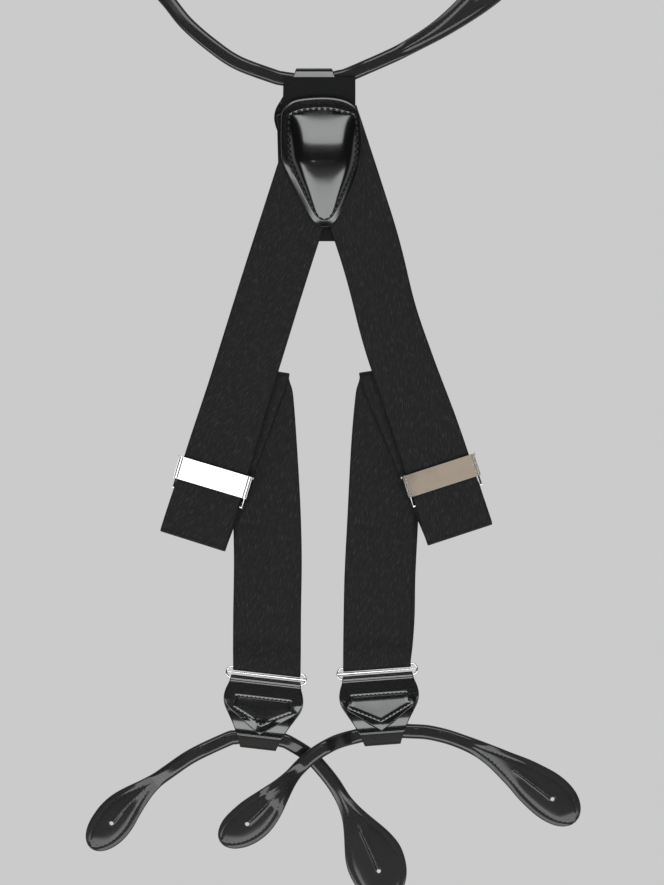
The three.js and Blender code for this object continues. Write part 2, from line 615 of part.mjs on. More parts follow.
// The strap's own end, turned round the sewing bar and stitched down on itself.
function strapTail() {
  const outer = SEW_BAR.radius + 0.25 + WEBBING.thick;
  const slabHalf = WEBBING.thick + 0.1;
  const shape = new THREE.Shape();
  shape.moveTo(-17.2, SEW_BAR.z - slabHalf);
  shape.lineTo(SEW_BAR.y - outer, SEW_BAR.z - slabHalf);
  shape.absarc(SEW_BAR.y, SEW_BAR.z, outer, radians(215), radians(145), false);
  shape.lineTo(SEW_BAR.y - outer, SEW_BAR.z + slabHalf);
  shape.lineTo(-17.2, SEW_BAR.z + slabHalf);
  const bore = new THREE.Path();
  bore.absarc(SEW_BAR.y, SEW_BAR.z, SEW_BAR.radius + 0.25, 0, Math.PI * 2, true);
  shape.holes.push(bore);
  const half = WEBBING.width / 2 - 0.15;
  return across(shape, -half, half, 8);
}

function adjuster(name, x, y, tilt) {
  return placed(x, y, LEVEL.front, tilt,
    named(`${name}_adjuster_frame`, adjusterFrame(), MATERIALS.nickel),
    named(`${name}_adjuster_lever`, adjusterLever(), MATERIALS.nickel),
    named(`${name}_adjuster_pin_outer`, adjusterPin(name === 'left' ? -1 : 1), MATERIALS.nickel),
    named(`${name}_adjuster_pin_inner`, adjusterPin(name === 'left' ? 1 : -1), MATERIALS.nickel),
    named(`${name}_strap_tail`, strapTail(), MATERIALS.webbing));
}

// ---- the back shield ----

// The shield's outline, drawn about its own middle line, inset for the padding.
function shieldOutline(inset = 0) {
  const half = 20.2 - inset;
  const tipRadius = 7.8 - inset;
  const tip = { x: 2.6, y: 108.4 };
  const shape = new THREE.Shape();
  shape.moveTo(-half, 152.0);
  shape.quadraticCurveTo(-half + 0.2, 160.5 - inset, -half + 5.6, 163.4 - inset);
  shape.quadraticCurveTo(0, 168.2 - inset, half - 6.2, 164.4 - inset);
  shape.quadraticCurveTo(half + 0.1, 162.0 - inset, half, 152.0);
  shape.lineTo(half, 134.0);
  shape.quadraticCurveTo(half - 1.4, 124.0, tip.x + tipRadius * Math.cos(radians(-18)), tip.y - 1.4);
  shape.absarc(tip.x, tip.y, tipRadius, radians(-18), radians(-152), true);
  shape.quadraticCurveTo(-half + 1.8, 126.0, -half, 134.0);
  return shape;
}
const SHIELD_X = -5.45;

// Front leather: flat along the seam, raised over the padding.
function shieldFront() {
  const base = SHIELD_BASE + SHIELD.lining + GAP + 2 * (WEBBING.thick + GAP) + 0.15;
  const rim = slab(shieldOutline(), base, base + SHIELD.leather, 8);
  const dome = slab(shieldOutline(SHIELD.seam - 0.6), base + 0.2, base + SHIELD.leather + SHIELD.padding, 8);
  const hollow = slab(shieldOutline(SHIELD.seam + 0.5), base - 1, base + SHIELD.padding + 0.05, 8);
  return cut(union(rim, dome), hollow).translate(SHIELD_X, 0, 0);
}

function shieldPadding() {
  const base = SHIELD_BASE + SHIELD.lining + GAP + 2 * (WEBBING.thick + GAP) + 0.15;
  return slab(shieldOutline(SHIELD.seam + 0.85), base + 0.05, base + SHIELD.padding - 0.3, 8).translate(SHIELD_X, 0, 0);
}

function shieldLining() {
  return slab(shieldOutline(0.4), SHIELD_BASE, SHIELD_BASE + SHIELD.lining, 8).translate(SHIELD_X, 0, 0);
}

// ---- the whole piece ----

function frontEnd(name) {
  const { loop } = STRAPS[name];
  const body = named(`${name}_tab`, tabBody(2.5, 1.3, -7.8), MATERIALS.patent);
  const flap = named(`${name}_tab_flap`, tabFlap(), MATERIALS.patent);
  const ring = named(`${name}_loop`, frontLoop(), MATERIALS.nickel);
  ring.position.z = LOOP_HEIGHT;
  return placed(loop.x, loop.y, 0, loop.tilt, body, flap, ring);
}

const REAR_TAB = { x: -9.1, y: 144.8 };
const ADJUSTERS = { left: [-60.1, -25.5, -16.6], right: [55.25, -24.6, 17.9] };
const CENTRE = { x: 0.61, y: 6.0 }; // the middle of the whole piece in the layout's own coordinates

const braces = new THREE.Group();
braces.position.set(-CENTRE.x, -CENTRE.y, 0);
braces.add(
  named('shield_front', shieldFront(), MATERIALS.patent),
  named('shield_padding', shieldPadding(), MATERIALS.foam),
  named('shield_lining', shieldLining(), MATERIALS.lining),
  named('back_elastic', elastic(), MATERIALS.elastic),
  placed(REAR_TAB.x, REAR_TAB.y, 0, 180,
    named('rear_tab', tabBody(2.95, 0.05, -6.0), MATERIALS.patent),
    named('rear_tab_facing', rearFacing(), MATERIALS.patent)),
  ...earPieces('rear', EARS.rear));
for (const name of ['left', 'right']) {
  braces.add(
    named(`${name}_webbing`, webbing(STRAPS[name]), MATERIALS.webbing),
    adjuster(name, ...ADJUSTERS[name]),
    frontEnd(name),
    ...earPieces(name, EARS[name]));
}

export default braces;
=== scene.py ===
# Black formal button-on braces, laid folded on a pale floor and seen from straight above.
#
# Lengths are written in millimetres in the same layout coordinates as the CAD source, and turned into
# metres in the row's frame when a mesh is made. Most soft pieces are modelled again here with finer sections
# than their CAD solids, in the same place, and ride on the same bodies; the strap tails and the shield's
# lining keep their CAD solids and only get a new material.

import math

import bmesh
import bpy
import numpy as np
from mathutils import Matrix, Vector, noise


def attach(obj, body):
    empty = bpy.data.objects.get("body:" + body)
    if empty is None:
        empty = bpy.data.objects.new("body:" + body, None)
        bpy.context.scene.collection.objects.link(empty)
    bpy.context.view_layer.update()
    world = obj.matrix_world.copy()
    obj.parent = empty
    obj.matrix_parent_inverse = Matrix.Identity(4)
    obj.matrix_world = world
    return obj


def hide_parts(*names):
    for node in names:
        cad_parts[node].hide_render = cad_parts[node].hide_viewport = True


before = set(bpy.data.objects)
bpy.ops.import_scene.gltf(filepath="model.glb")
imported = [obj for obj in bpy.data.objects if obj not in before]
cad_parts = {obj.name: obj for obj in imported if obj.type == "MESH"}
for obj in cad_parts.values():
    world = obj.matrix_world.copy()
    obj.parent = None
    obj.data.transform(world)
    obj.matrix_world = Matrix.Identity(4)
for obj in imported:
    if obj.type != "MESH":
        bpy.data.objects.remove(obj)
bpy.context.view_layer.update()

MM = 0.001
CENTRE = Vector((0.61, 6.0, 0.0))  # the row's origin in layout coordinates
UP = Vector((0, 0, 1))

# ---- driving dimensions, as in the CAD source ----

GAP = 0.35
WEBBING = {"width": 34.5, "thick": 1.0}
ELASTIC = {"width": 36.5, "thick": 1.3}
LEATHER = 0.95
PITCH = WEBBING["thick"] + GAP
LEVEL = {
    "loop_back": 0.5,
    "loop_front": 0.5 + PITCH,
    "rise_back": 0.5 + 2 * PITCH,
    "rise_front": 0.5 + 3 * PITCH,
    "tail": 7.35,
    "front": 10.15,
}
LOOP = {"half": 17.4, "bend": 2.9, "wire": 0.6, "bar": 0.85}
LOOP_HEIGHT = 1.85
SHIELD_LEVEL = 7.6
REAR_FOLD = {"tab": 1.95, "under": 6.65, "over": 9.35}


# ---- numbers ----

def mix(a, b, share):
    return a + (b - a) * share


def smooth(value, start, end):
    share = min(1.0, max(0.0, (value - start) / (end - start)))
    return share * share * (3 - 2 * share)


def constant(value):
    """A function that gives the same value wherever along or across it is asked."""
    return lambda *_: value


def sides_of(outline):
    """The pairs of neighbouring corners round a closed outline."""
    return zip(outline, [*outline[1:], outline[0]])


def direction(tilt):
    """The unit vector at this angle from the x axis, in degrees."""
    return Vector((math.cos(math.radians(tilt)), math.sin(math.radians(tilt)), 0))


class Spline:
    """A smooth curve through plan points, walked by its arc length."""

    def __init__(self, points, steps=900):
        self.points = [Vector((p[0], p[1], 0)) for p in points]
        count = len(self.points) - 1
        self.samples = [self._place(i / steps * count) for i in range(steps + 1)]
        runs = [0.0]
        for a, b in zip(self.samples, self.samples[1:]):
            runs.append(runs[-1] + (b - a).length)
        self.runs = runs
        self.length = runs[-1]

    def _place(self, t):
        last = len(self.points) - 1
        i = min(int(t), last - 1)
        w = t - i
        p1, p2 = self.points[i], self.points[i + 1]
        p0 = self.points[max(i - 1, 0)]
        p3 = self.points[min(i + 2, last)]
        v0, v1 = (p2 - p0) / 2, (p3 - p1) / 2
        return ((2 * p1 - 2 * p2 + v0 + v1) * w ** 3 + (-3 * p1 + 3 * p2 - 2 * v0 - v1) * w ** 2
                + v0 * w + p1)

    def at(self, run):
        run = min(max(run, 0.0), self.length)
        i = min(int(np.searchsorted(self.runs, run)), len(self.runs) - 1)
        if i == 0:
            return self.samples[0].copy()
        span = self.runs[i] - self.runs[i - 1]
        return self.samples[i - 1].lerp(self.samples[i], (run - self.runs[i - 1]) / max(span, 1e-9))

    def tangent(self, run):
        step = 0.05
        return (self.at(run + step) - self.at(run - step)).normalized()


# ---- meshes ----

def new_piece(name, points, faces, material, uvs=None, sharp=40):
    """A mesh object from points in layout millimetres. uvs holds one pair for each point, in metres."""
    mesh = bpy.data.meshes.new(name)
    mesh.from_pydata([(Vector(p) - CENTRE) * MM for p in points], [], faces)
    mesh.validate()
    if uvs is not None:
        layer = mesh.uv_layers.new(name="UVMap")
        for loop in mesh.loops:
            layer.data[loop.index].uv = uvs[loop.vertex_index]
    mesh.shade_smooth()
    mesh.set_sharp_from_angle(angle=math.radians(sharp))
    piece = bpy.data.objects.new(name, mesh)
    bpy.context.scene.collection.objects.link(piece)
    piece.data.materials.append(material)
    return piece


def skin(sections, ring=False, closed_section=True):
    """Points and faces that join sections of equal length, with end caps unless it is a ring."""
    count = len(sections[0])
    points = [p for section in sections for p in section]
    faces = []
    last = len(sections) if ring else len(sections) - 1
    across = count if closed_section else count - 1
    for i in range(last):
        here, there = i * count, ((i + 1) % len(sections)) * count
        for j in range(across):
            k = (j + 1) % count
            faces.append((here + j, here + k, there + k, there + j))
    if not ring and closed_section:
        end = (len(sections) - 1) * count
        faces.append(tuple(reversed(range(count))))
        faces.append(tuple(range(end, end + count)))
    return points, faces


def facing_out(piece):
    """Turns a closed piece's faces outwards."""
    mesh = bmesh.new()
    mesh.from_mesh(piece.data)
    bmesh.ops.recalc_face_normals(mesh, faces=mesh.faces)
    mesh.to_mesh(piece.data)
    mesh.free()
    return piece


def applied(piece):
    """Turns a piece's modifiers into its mesh."""
    bpy.context.view_layer.update()
    mesh = bpy.data.meshes.new_from_object(piece.evaluated_get(bpy.context.evaluated_depsgraph_get()))
    piece.modifiers.clear()
    piece.data = mesh


def only_material(piece, key):
    """Gives a piece this one material in place of what it has."""
    piece.data.materials.clear()
    piece.data.materials.append(MATERIALS[key])


def cut_by(piece, cutter):
    """Cuts a closed piece with another, which is then thrown away."""
    step = piece.modifiers.new("cut", "BOOLEAN")
    step.operation = "DIFFERENCE"
    step.solver = "EXACT"
    step.object = cutter
    applied(piece)
    bpy.data.objects.remove(cutter)


def joined(name, pieces):
    """Several pieces as one object."""
    with bpy.context.temp_override(active_object=pieces[0], selected_editable_objects=pieces):
        bpy.ops.object.join()
    pieces[0].name = name
    return pieces[0]


# ---- materials ----

def shader(name, colour, roughness, metallic=0.0, specular=0.5, coat=0.0, coat_roughness=0.05, sheen=0.0):
    material = bpy.data.materials.new(name)
    material.use_nodes = True
    bsdf = material.node_tree.nodes["Principled BSDF"]
    bsdf.inputs["Base Color"].default_value = (*colour, 1)
    bsdf.inputs["Roughness"].default_value = roughness
    bsdf.inputs["Metallic"].default_value = metallic
    bsdf.inputs["Specular IOR Level"].default_value = specular
    bsdf.inputs["Coat Weight"].default_value = coat
    bsdf.inputs["Coat Roughness"].default_value = coat_roughness
    bsdf.inputs["Sheen Weight"].default_value = sheen
    bsdf.inputs["Sheen Roughness"].default_value = 0.45
    return material


class Nodes:
    """Short ways to add the nodes that the materials and the light share."""

    def __init__(self, tree):
        self.tree = tree
        self.bsdf = tree.nodes.get("Principled BSDF")

    def add(self, kind, **values):
        node = self.tree.nodes.new(kind)
        for key, value in values.items():
            setattr(node, key, value)
        return node

    def link(self, a, b):
        self.tree.links.new(a, b)

    def coordinates(self, source, scale, turn=0.0):
        start = self.add("ShaderNodeTexCoord")
        place = self.add("ShaderNodeMapping")
        place.inputs["Rotation"].default_value = (0, 0, math.radians(turn))
        place.inputs["Scale"].default_value = scale
        self.link(start.outputs[source], place.inputs["Vector"])
        return place.outputs["Vector"]

    def slanted(self, source, across, along, turn):
        """Coordinates turned by an angle first and then scaled, so that long marks lie at that angle."""
        start = self.add("ShaderNodeTexCoord")
        place = self.add("ShaderNodeMapping", vector_type="TEXTURE")
        place.inputs["Rotation"].default_value = (0, 0, math.radians(turn))
        place.inputs["Scale"].default_value = (1 / across, 1 / along, 1)
        self.link(start.outputs[source], place.inputs["Vector"])
        return place.outputs["Vector"]

    def noise(self, vector, scale, detail=2.0, distortion=0.0, roughness=0.5):
        node = self.add("ShaderNodeTexNoise")
        node.inputs["Scale"].default_value = scale
        node.inputs["Detail"].default_value = detail
        node.inputs["Roughness"].default_value = roughness
        node.inputs["Distortion"].default_value = distortion
        self.link(vector, node.inputs["Vector"])
        return node.outputs["Fac"]

    def band(self, value, low, high, to_low=0.0, to_high=1.0):
        node = self.add("ShaderNodeMapRange")
        node.interpolation_type = "SMOOTHSTEP"
        node.inputs["From Min"].default_value = low
        node.inputs["From Max"].default_value = high
        node.inputs["To Min"].default_value = to_low
        node.inputs["To Max"].default_value = to_high
        self.link(value, node.inputs["Value"])
        return node.outputs["Result"]

    def math(self, operation, a, b=0.0):
        node = self.add("ShaderNodeMath", operation=operation)
        for socket, value in zip(node.inputs, (a, b)):
            if isinstance(value, (int, float)):
                socket.default_value = value
            else:
                self.link(value, socket)
        return node.outputs["Value"]

    def colours(self, share, low, high, socket=None):
        node = self.add("ShaderNodeMix", data_type="RGBA")
        node.inputs[6].default_value = (*low, 1)
        node.inputs[7].default_value = (*high, 1)
        self.link(share, node.inputs[0])
        self.link(node.outputs[2], socket or self.bsdf.inputs["Base Color"])

    def bump(self, height, strength, distance):
        node = self.add("ShaderNodeBump")
        node.inputs["Strength"].default_value = strength
        node.inputs["Distance"].default_value = distance
        self.link(height, node.inputs["Height"])
        self.link(node.outputs["Normal"], self.bsdf.inputs["Normal"])
        return node


def webbing_material():
    """Dark ribbed webbing with a moire watermark: fine broken dashes that mostly run along it."""
    material = shader("moire webbing", (0.014, 0.014, 0.0145), 0.66, specular=0.25, sheen=0.04)
    n = Nodes(material.node_tree)
    layers = []
    for turn, seed in ((20, 0.0), (6, 3.1), (34, 7.7)):
        vector = n.slanted("UV", 1900, 230, turn)
        shifted = n.add("ShaderNodeVectorMath", operation="ADD")
        shifted.inputs[1].default_value = (seed, seed * 2, 0)
        n.link(vector, shifted.inputs[0])
        layers.append(n.band(n.noise(shifted.outputs[0], 1.0, 1.5, 0.25), 0.55, 0.66))
    patches = n.noise(n.coordinates("UV", (60, 45, 1)), 1.0, 2.0)
    upper = n.band(patches, 0.42, 0.58)
    dashes = n.math("ADD", n.math("MULTIPLY", layers[0], upper), n.math("MULTIPLY", layers[1], n.math(
        "SUBTRACT", 1.0, upper)))
    dashes = n.math("ADD", dashes, n.math("MULTIPLY", layers[2], 0.35))
    n.colours(n.math("MINIMUM", dashes, 1.0), (0.0075, 0.0072, 0.0073), (0.027, 0.026, 0.0262))
    ribs = n.add("ShaderNodeTexWave", wave_type="BANDS", bands_direction="Y")
    ribs.inputs["Scale"].default_value = 1.0
    ribs.inputs["Distortion"].default_value = 0.6
    ribs.inputs["Detail"].default_value = 1.0
    n.link(n.coordinates("UV", (600, 620, 1)), ribs.inputs["Vector"])
    n.bump(n.math("ADD", ribs.outputs["Fac"], n.math("MULTIPLY", dashes, 0.6)), 0.2, 0.0001)
    return material


def elastic_material():
    material = shader("woven elastic", (0.0125, 0.0125, 0.0125), 0.9, specular=0.2)
    n = Nodes(material.node_tree)
    cords = n.add("ShaderNodeTexWave", wave_type="BANDS", bands_direction="X")
    cords.inputs["Scale"].default_value = 1.0
    cords.inputs["Distortion"].default_value = 0.4
    n.link(n.coordinates("UV", (420, 900, 1)), cords.inputs["Vector"])
    fuzz = n.noise(n.coordinates("UV", (3500, 2500, 1)), 1.0, 2.0)
    n.colours(fuzz, (0.010, 0.010, 0.010), (0.0165, 0.0165, 0.0165))
    n.bump(n.math("ADD", cords.outputs["Fac"], fuzz), 0.25, 0.0001)
    return material


def patent_material():
    """Black patent leather: a hard clear coat over smooth black leather with a faint ripple."""
    material = shader("patent leather", (0.004, 0.004, 0.0042), 0.16, coat=1.0, coat_roughness=0.03)
    n = Nodes(material.node_tree)
    ripple = n.noise(n.coordinates("Object", (1, 1, 1)), 70, 1.0)
    grain = n.noise(n.coordinates("Object", (1, 1, 1)), 1400, 2.0)
    n.colours(grain, (0.0032, 0.0032, 0.0034), (0.0056, 0.0056, 0.0058))
    bump = n.bump(ripple, 0.1, 0.0005)
    n.link(bump.outputs["Normal"], n.bsdf.inputs["Coat Normal"])
    n.link(n.band(grain, 0.3, 0.7, 0.14, 0.2), n.bsdf.inputs["Roughness"])
    return material


def strap_leather_material():
    """The rolled ear straps: black leather with a softer gloss, fine pores and a few scuffs."""
    material = shader("ear strap leather", (0.012, 0.0115, 0.011), 0.5, specular=0.22, coat=0.9,
                      coat_roughness=0.06)
    n = Nodes(material.node_tree)
    pores = n.noise(n.coordinates("Object", (1, 1, 1)), 2400, 3.0)
    scuffs = n.noise(n.coordinates("Object", (1, 1, 1)), 260, 4.0, 0.6)
    n.colours(n.band(scuffs, 0.45, 0.75), (0.0075, 0.0072, 0.007), (0.013, 0.0122, 0.0118))
    n.bump(n.math("ADD", pores, n.math("MULTIPLY", scuffs, 0.4)), 0.1, 0.00008)
    n.link(n.band(scuffs, 0.35, 0.7, 0.42, 0.56), n.bsdf.inputs["Roughness"])
    return material


def leaf_leather_material():
    """The leaves: flat pressed black leather, glossy but worn a little grey."""
    material = shader("leaf leather", (0.011, 0.0105, 0.0102), 0.48, specular=0.22, coat=0.7,
                      coat_roughness=0.06)
    n = Nodes(material.node_tree)
    pores = n.noise(n.coordinates("Object", (1, 1, 1)), 1500, 2.0)
    wear = n.noise(n.coordinates("Object", (1, 1, 1)), 90, 3.0, 0.5)
    n.colours(n.band(wear, 0.4, 0.65), (0.0085, 0.008, 0.0078), (0.0165, 0.0155, 0.015))
    n.bump(pores, 0.06, 0.00008)
    n.link(n.band(wear, 0.35, 0.65, 0.38, 0.55), n.bsdf.inputs["Roughness"])
    return material


def lining_material():
    material = shader("lining leather", (0.014, 0.0125, 0.0115), 0.6, specular=0.35)
    n = Nodes(material.node_tree)
    grain = n.noise(n.coordinates("Object", (1, 1, 1)), 1500, 4.0)
    n.colours(grain, (0.010, 0.009, 0.0082), (0.02, 0.018, 0.0165))
    n.bump(grain, 0.4, 0.0001)
    return material


def thread_material():
    material = shader("black thread", (0.012, 0.012, 0.012), 0.42, specular=0.5, sheen=0.1)
    n = Nodes(material.node_tree)
    twist = n.add("ShaderNodeTexWave", wave_type="BANDS", bands_direction="DIAGONAL")
    twist.inputs["Scale"].default_value = 900
    n.link(n.coordinates("Object", (1, 1, 1)), twist.inputs["Vector"])
    n.bump(twist.outputs["Fac"], 0.5, 0.00012)
    return material


def nickel_material():
    material = shader("polished nickel", (0.86, 0.84, 0.81), 0.09, metallic=1.0)
    n = Nodes(material.node_tree)
    haze = n.noise(n.coordinates("Object", (1, 1, 1)), 200, 2.0)
    n.link(n.band(haze, 0.35, 0.7, 0.03, 0.06), n.bsdf.inputs["Roughness"])
    return material


MATERIALS = {
    "webbing": webbing_material(),
    "elastic": elastic_material(),
    "patent": patent_material(),
    "strap": strap_leather_material(),
    "leaf": leaf_leather_material(),
    "lining": lining_material(),
    "thread": thread_material(),
    "nickel": nickel_material(),
}


# ---- bands: webbing, elastic and sewn leather ----

class Station:
    """One place along a band: its middle, the direction across it, its face's normal and half width."""

    def __init__(self, middle, side, normal, half, cup=0.0):
        self.middle = Vector(middle)
        self.side = side.normalized()
        self.normal = normal
        self.half = half
        self.cup = cup


def band(name, stations, thick, material, across=18, edge=0.5):
    """A closed band with rounded edges. cup is how far its edges sit below its middle."""
    shares = [math.sin(mix(-1, 1, i / across) * math.pi / 2) for i in range(across + 1)]
    sections, uvs = [], []
    run = 0.0
    for i, station in enumerate(stations):
        if i:
            run += (station.middle - stations[i - 1].middle).length
        section = []
        for face in (1, -1):
            for share in shares[::-face] if face == 1 else shares:
                near = (1 - abs(share)) * station.half
                rounding = math.sqrt(max(0.0, 1 - max(0.0, 1 - near / edge) ** 2))
                lift = face * thick / 2 * mix(0.3, 1.0, rounding) - station.cup * share * share
                section.append(station.middle + station.side * station.half * share + station.normal * lift)
                uvs.append((share * station.half * MM, run * MM))
        sections.append(section)
    points, faces = skin(sections)
    return facing_out(new_piece(name, points, faces, material, uvs, sharp=55))


def walked(stations):
    """The length along a band, in millimetres."""
    return sum((b.middle - a.middle).length for a, b in zip(stations, stations[1:]))


def stretch(points, height, facing, half, first=None, last=None, steps=20, easing=16, cup=None):
    """Stations along a flat-lying curve. first and last are the fold lines at its ends."""
    curve = Spline([p[:2] for p in points])
    way = math.copysign(1, (first or last).x)
    stations = []
    for i in range(steps + 1):
        run = i / steps * curve.length
        share = run / curve.length
        tangent = curve.tangent(run)
        side = Vector((-tangent.y, tangent.x, 0))
        if side.x * way < 0:
            side.negate()
        if first:
            side = side.lerp(first, 1 - smooth(run, 0, easing))
        if last:
            side = side.lerp(last, 1 - smooth(curve.length - run, 0, easing))
        middle = curve.at(run)
        middle.z = height(share, run, curve.length)
        stations.append(Station(middle, side, UP * facing, half(share), cup(share) if cup else 0.0))
    return stations


def fold(line, start, end, facing, half, steps=12):
    """Stations round a half turn about a fold line, from one height to another."""
    radius, middle = abs(end - start) / 2, (start + end) / 2
    down = math.copysign(1, start - end)
    stations = []
    for i in range(1, steps):
        angle = i / steps * math.pi
        out, rise = math.sin(angle), down * math.cos(angle)
        place = line.point + line.outward * radius * out
        normal = (line.outward * out + UP * rise) * down * facing
        stations.append(Station((place.x, place.y, middle + radius * rise), line.side, normal, half))
    return stations


class FoldLine:
    def __init__(self, x, y, tilt, points_up):
        self.point = Vector((x, y, 0))
        self.side = direction(tilt)
        self.outward = Vector((-self.side.y, self.side.x, 0)) * (1 if points_up else -1)


STRAPS = {
    "left": {
        "shield_end": (-3.6, 154.2),
        "bends": [(-25.6, 86.7), (-40.8, 38.0)],
        "bottom": FoldLine(-69.4, -54.2, -17.5, False),
        "top": FoldLine(-38.9, 27.5, -9.0, True),
        "lower": [(-36.8, 13.7), (-34.7, -15.2), (-33.2, -42.6), (-32.6, -67.4), (-33.0, -97.9)],
        "loop": (-33.4, -126.4, -6.5),
        "cupping": [(0, 0.94), (0.3, 0.925), (0.62, 0.93), (0.84, 0.97), (1, 1)],
        "back_shift": 0.0,
        "end_level": 9.2,
    },
    "right": {
        "shield_end": (-2.9, 157.6),
        "bends": [(18.2, 92.8), (30.2, 48.0), (47.0, 0.0)],
        "bottom": FoldLine(63.7, -51.0, 18.2, False),
        "top": FoldLine(31.1, 27.7, 8.6, True),
        "lower": [(29.0, 13.7), (26.9, -10.6), (25.0, -47.2), (23.6, -75.0), (23.1, -98.0)],
        "loop": (23.0, -124.2, 4.2),
        "cupping": [(0, 0.93), (0.26, 0.92), (0.44, 0.885), (0.6, 0.92), (0.84, 0.965), (1, 1)],
        "back_shift": 1.6,
        "end_level": 10.55,
    },
}
TAIL_STUB = 2.0


def share_at(table, share):
    for (start, low), (end, high) in zip(table, table[1:]):
        if share <= end:
            return mix(low, high, smooth(share, start, end))
    return table[-1][1]


def loop_fold(x, y, tilt):
    line = FoldLine(x, y, tilt, False)
    line.point -= line.outward * LOOP["bend"]
    return line


def webbing(side):
    strap = STRAPS[side]
    half = WEBBING["width"] / 2
    full = constant(half)
    bottom, top, loop = strap["bottom"], strap["top"], loop_fold(*strap["loop"])
    opening = LOOP_HEIGHT + LOOP["wire"] + 0.25 + WEBBING["thick"] / 2
    shift = Vector((strap["back_shift"], 0, 0))
    behind = [Vector((*p, 0)) + shift for p in strap["lower"]]

    def front_height(_, run, length):
        return mix(strap["end_level"], LEVEL["front"], smooth(run, 20, length * 0.5))

    def lower_height(_, run, length):
        return mix(LEVEL["loop_front"], opening, smooth(run, length - 16, length - 5))

    stub = bottom.point - bottom.outward * TAIL_STUB
    stations = stretch([strap["shield_end"], *strap["bends"], bottom.point], front_height, 1,
                       lambda s: half * share_at(strap["cupping"], s), last=bottom.side, steps=110,
                       cup=lambda s: 0.55 * smooth(s, 0.12, 0.3) * (1 - smooth(s, 0.62, 0.78)))
    stations += fold(bottom, LEVEL["front"], LEVEL["rise_back"], 1, half, 18)
    stations += stretch([bottom.point, top.point], constant(LEVEL["rise_back"]), -1, full,
                        bottom.side, top.side, 30)
    stations += fold(top, LEVEL["rise_back"], LEVEL["loop_front"], -1, half, 10)
    stations += stretch([top.point, *strap["lower"], loop.point], lower_height, 1, full,
                        top.side, loop.side, 90)
    stations += fold(loop, opening, LEVEL["loop_back"], 1, half, 12)
    stations += stretch([loop.point, *reversed(behind), top.point], constant(LEVEL["loop_back"]), -1, full,
                        loop.side, top.side, 60)
    stations += fold(top, LEVEL["loop_back"], LEVEL["rise_front"], -1, half, 14)
    stations += stretch([top.point, bottom.point], constant(LEVEL["rise_front"]), 1, full,
                        top.side, bottom.side, 30)
    stations += fold(bottom, LEVEL["rise_front"], LEVEL["tail"], 1, half, 10)
    stations += stretch([bottom.point, stub], constant(LEVEL["tail"]), -1, full, first=bottom.side, steps=3)
    piece = band(f"{side}_strap", stations, WEBBING["thick"], MATERIALS["webbing"])
    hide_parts(f"{side}_webbing")
    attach(piece, "back")
    length = walked(stations)
    return length


def elastic():
    half = ELASTIC["width"] / 2
    full = constant(half)
    over = FoldLine(-6.4, 175.1, 0, True)
    under = FoldLine(-8.1, 97.2, 0, False)

    stations = stretch([(-9.8, 158.6), under.point], constant(REAR_FOLD["tab"]), 1, full,
                       last=under.side, steps=20)
    stations += fold(under, REAR_FOLD["tab"], REAR_FOLD["under"], 1, half, 16)
    stations += stretch([under.point, over.point], constant(REAR_FOLD["under"]), -1, full,
                        under.side, over.side, 24)
    stations += fold(over, REAR_FOLD["under"], REAR_FOLD["over"], -1, half, 14)
    stations += stretch([over.point, (-6.4, 162.6)], constant(REAR_FOLD["over"]), 1, full,
                        first=over.side, steps=8)
    piece = band("elastic_band", stations, ELASTIC["thick"], MATERIALS["elastic"], edge=0.65)
    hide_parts("back_elastic")
    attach(piece, "back")
    length = walked(stations)
    return length


# ---- stitching ----

def stitches(name, path, body, pitch, length, radius, sink):
    """Thread lying along a path of points in layout millimetres, in stitches of one length."""
    runs = [0.0]
    for a, b in zip(path, path[1:]):
        runs.append(runs[-1] + (b - a).length)

    def place(run):
        i = min(max(int(np.searchsorted(runs, run)), 1), len(runs) - 1)
        return path[i - 1].lerp(path[i], (run - runs[i - 1]) / max(runs[i] - runs[i - 1], 1e-9))

    points, faces = [], []
    count = int(runs[-1] / pitch)
    sides, rows = 8, 6
    for s in range(count):
        start = (s + 0.5) * runs[-1] / count - length / 2
        ahead = (place(start + length) - place(start)).normalized()
        beside = UP.cross(ahead).normalized()
        base = len(points)
        for row in range(rows + 1):
            share = row / rows
            swell = math.sin(math.pi * mix(0.06, 0.94, share)) ** 0.5
            middle = place(start + share * length) + UP * (radius * (swell - 0.55) - sink)
            for k in range(sides):
                angle = k / sides * 2 * math.pi
                points.append(middle + (beside * math.cos(angle) + UP * math.sin(angle)) * radius * swell)
        for row in range(rows):
            for k in range(sides):
                a = base + row * sides + k
                b = base + row * sides + (k + 1) % sides
                faces.append((a, b, b + sides, a + sides))
        faces.append(tuple(base + k for k in reversed(range(sides))))
        faces.append(tuple(base + rows * sides + k for k in range(sides)))
    piece = facing_out(new_piece(name, points, faces, MATERIALS["thread"], sharp=80))
    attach(piece, body)


# ---- the back shield ----

SHIELD_X = -5.45
SHIELD_BASE = SHIELD_LEVEL + 0.8 + GAP + 2 * (WEBBING["thick"] + GAP) + 0.15
RIM_HEIGHT = 1.65
LEAN = 1.4 / 65  # the layers under the shield are thicker towards the top, so all of it leans a little
TIP_Y = 101
PARTING = 3.4  # the foot's two sides part this far right of the shield's middle line
SHIELD_EDGE = [  # clockwise from the left shoulder, about the shield's own middle line
    (-20.2, 152.0), (-19.2, 159.6), (-14.4, 164.2), (-6.0, 165.9), (5.4, 166.0), (13.8, 163.8), (18.6, 159.0),
    (20.1, 150.0), (20.1, 137.0), (18.0, 126.8), (13.9, 116.0), (9.8, 107.2), (6.3, 102.6), (1.9, 101.0),
    (-2.7, 102.4), (-6.4, 106.6), (-11.6, 116.6), (-17.0, 127.4), (-19.9, 136.0),
]


def closed_curve(points, count):
    """Even places along a smooth closed curve."""
    curve = Spline([*points[-2:], *points, *points[:3]], 2400)
    joint = Vector((*points[0], 0))

    def nearest(samples):
        return curve.runs[min(samples, key=lambda i: (curve.samples[i] - joint).length)]

    first, last = nearest(range(1200)), nearest(range(1200, 2401))
    return [curve.at(mix(first, last, i / count)) for i in range(count)]


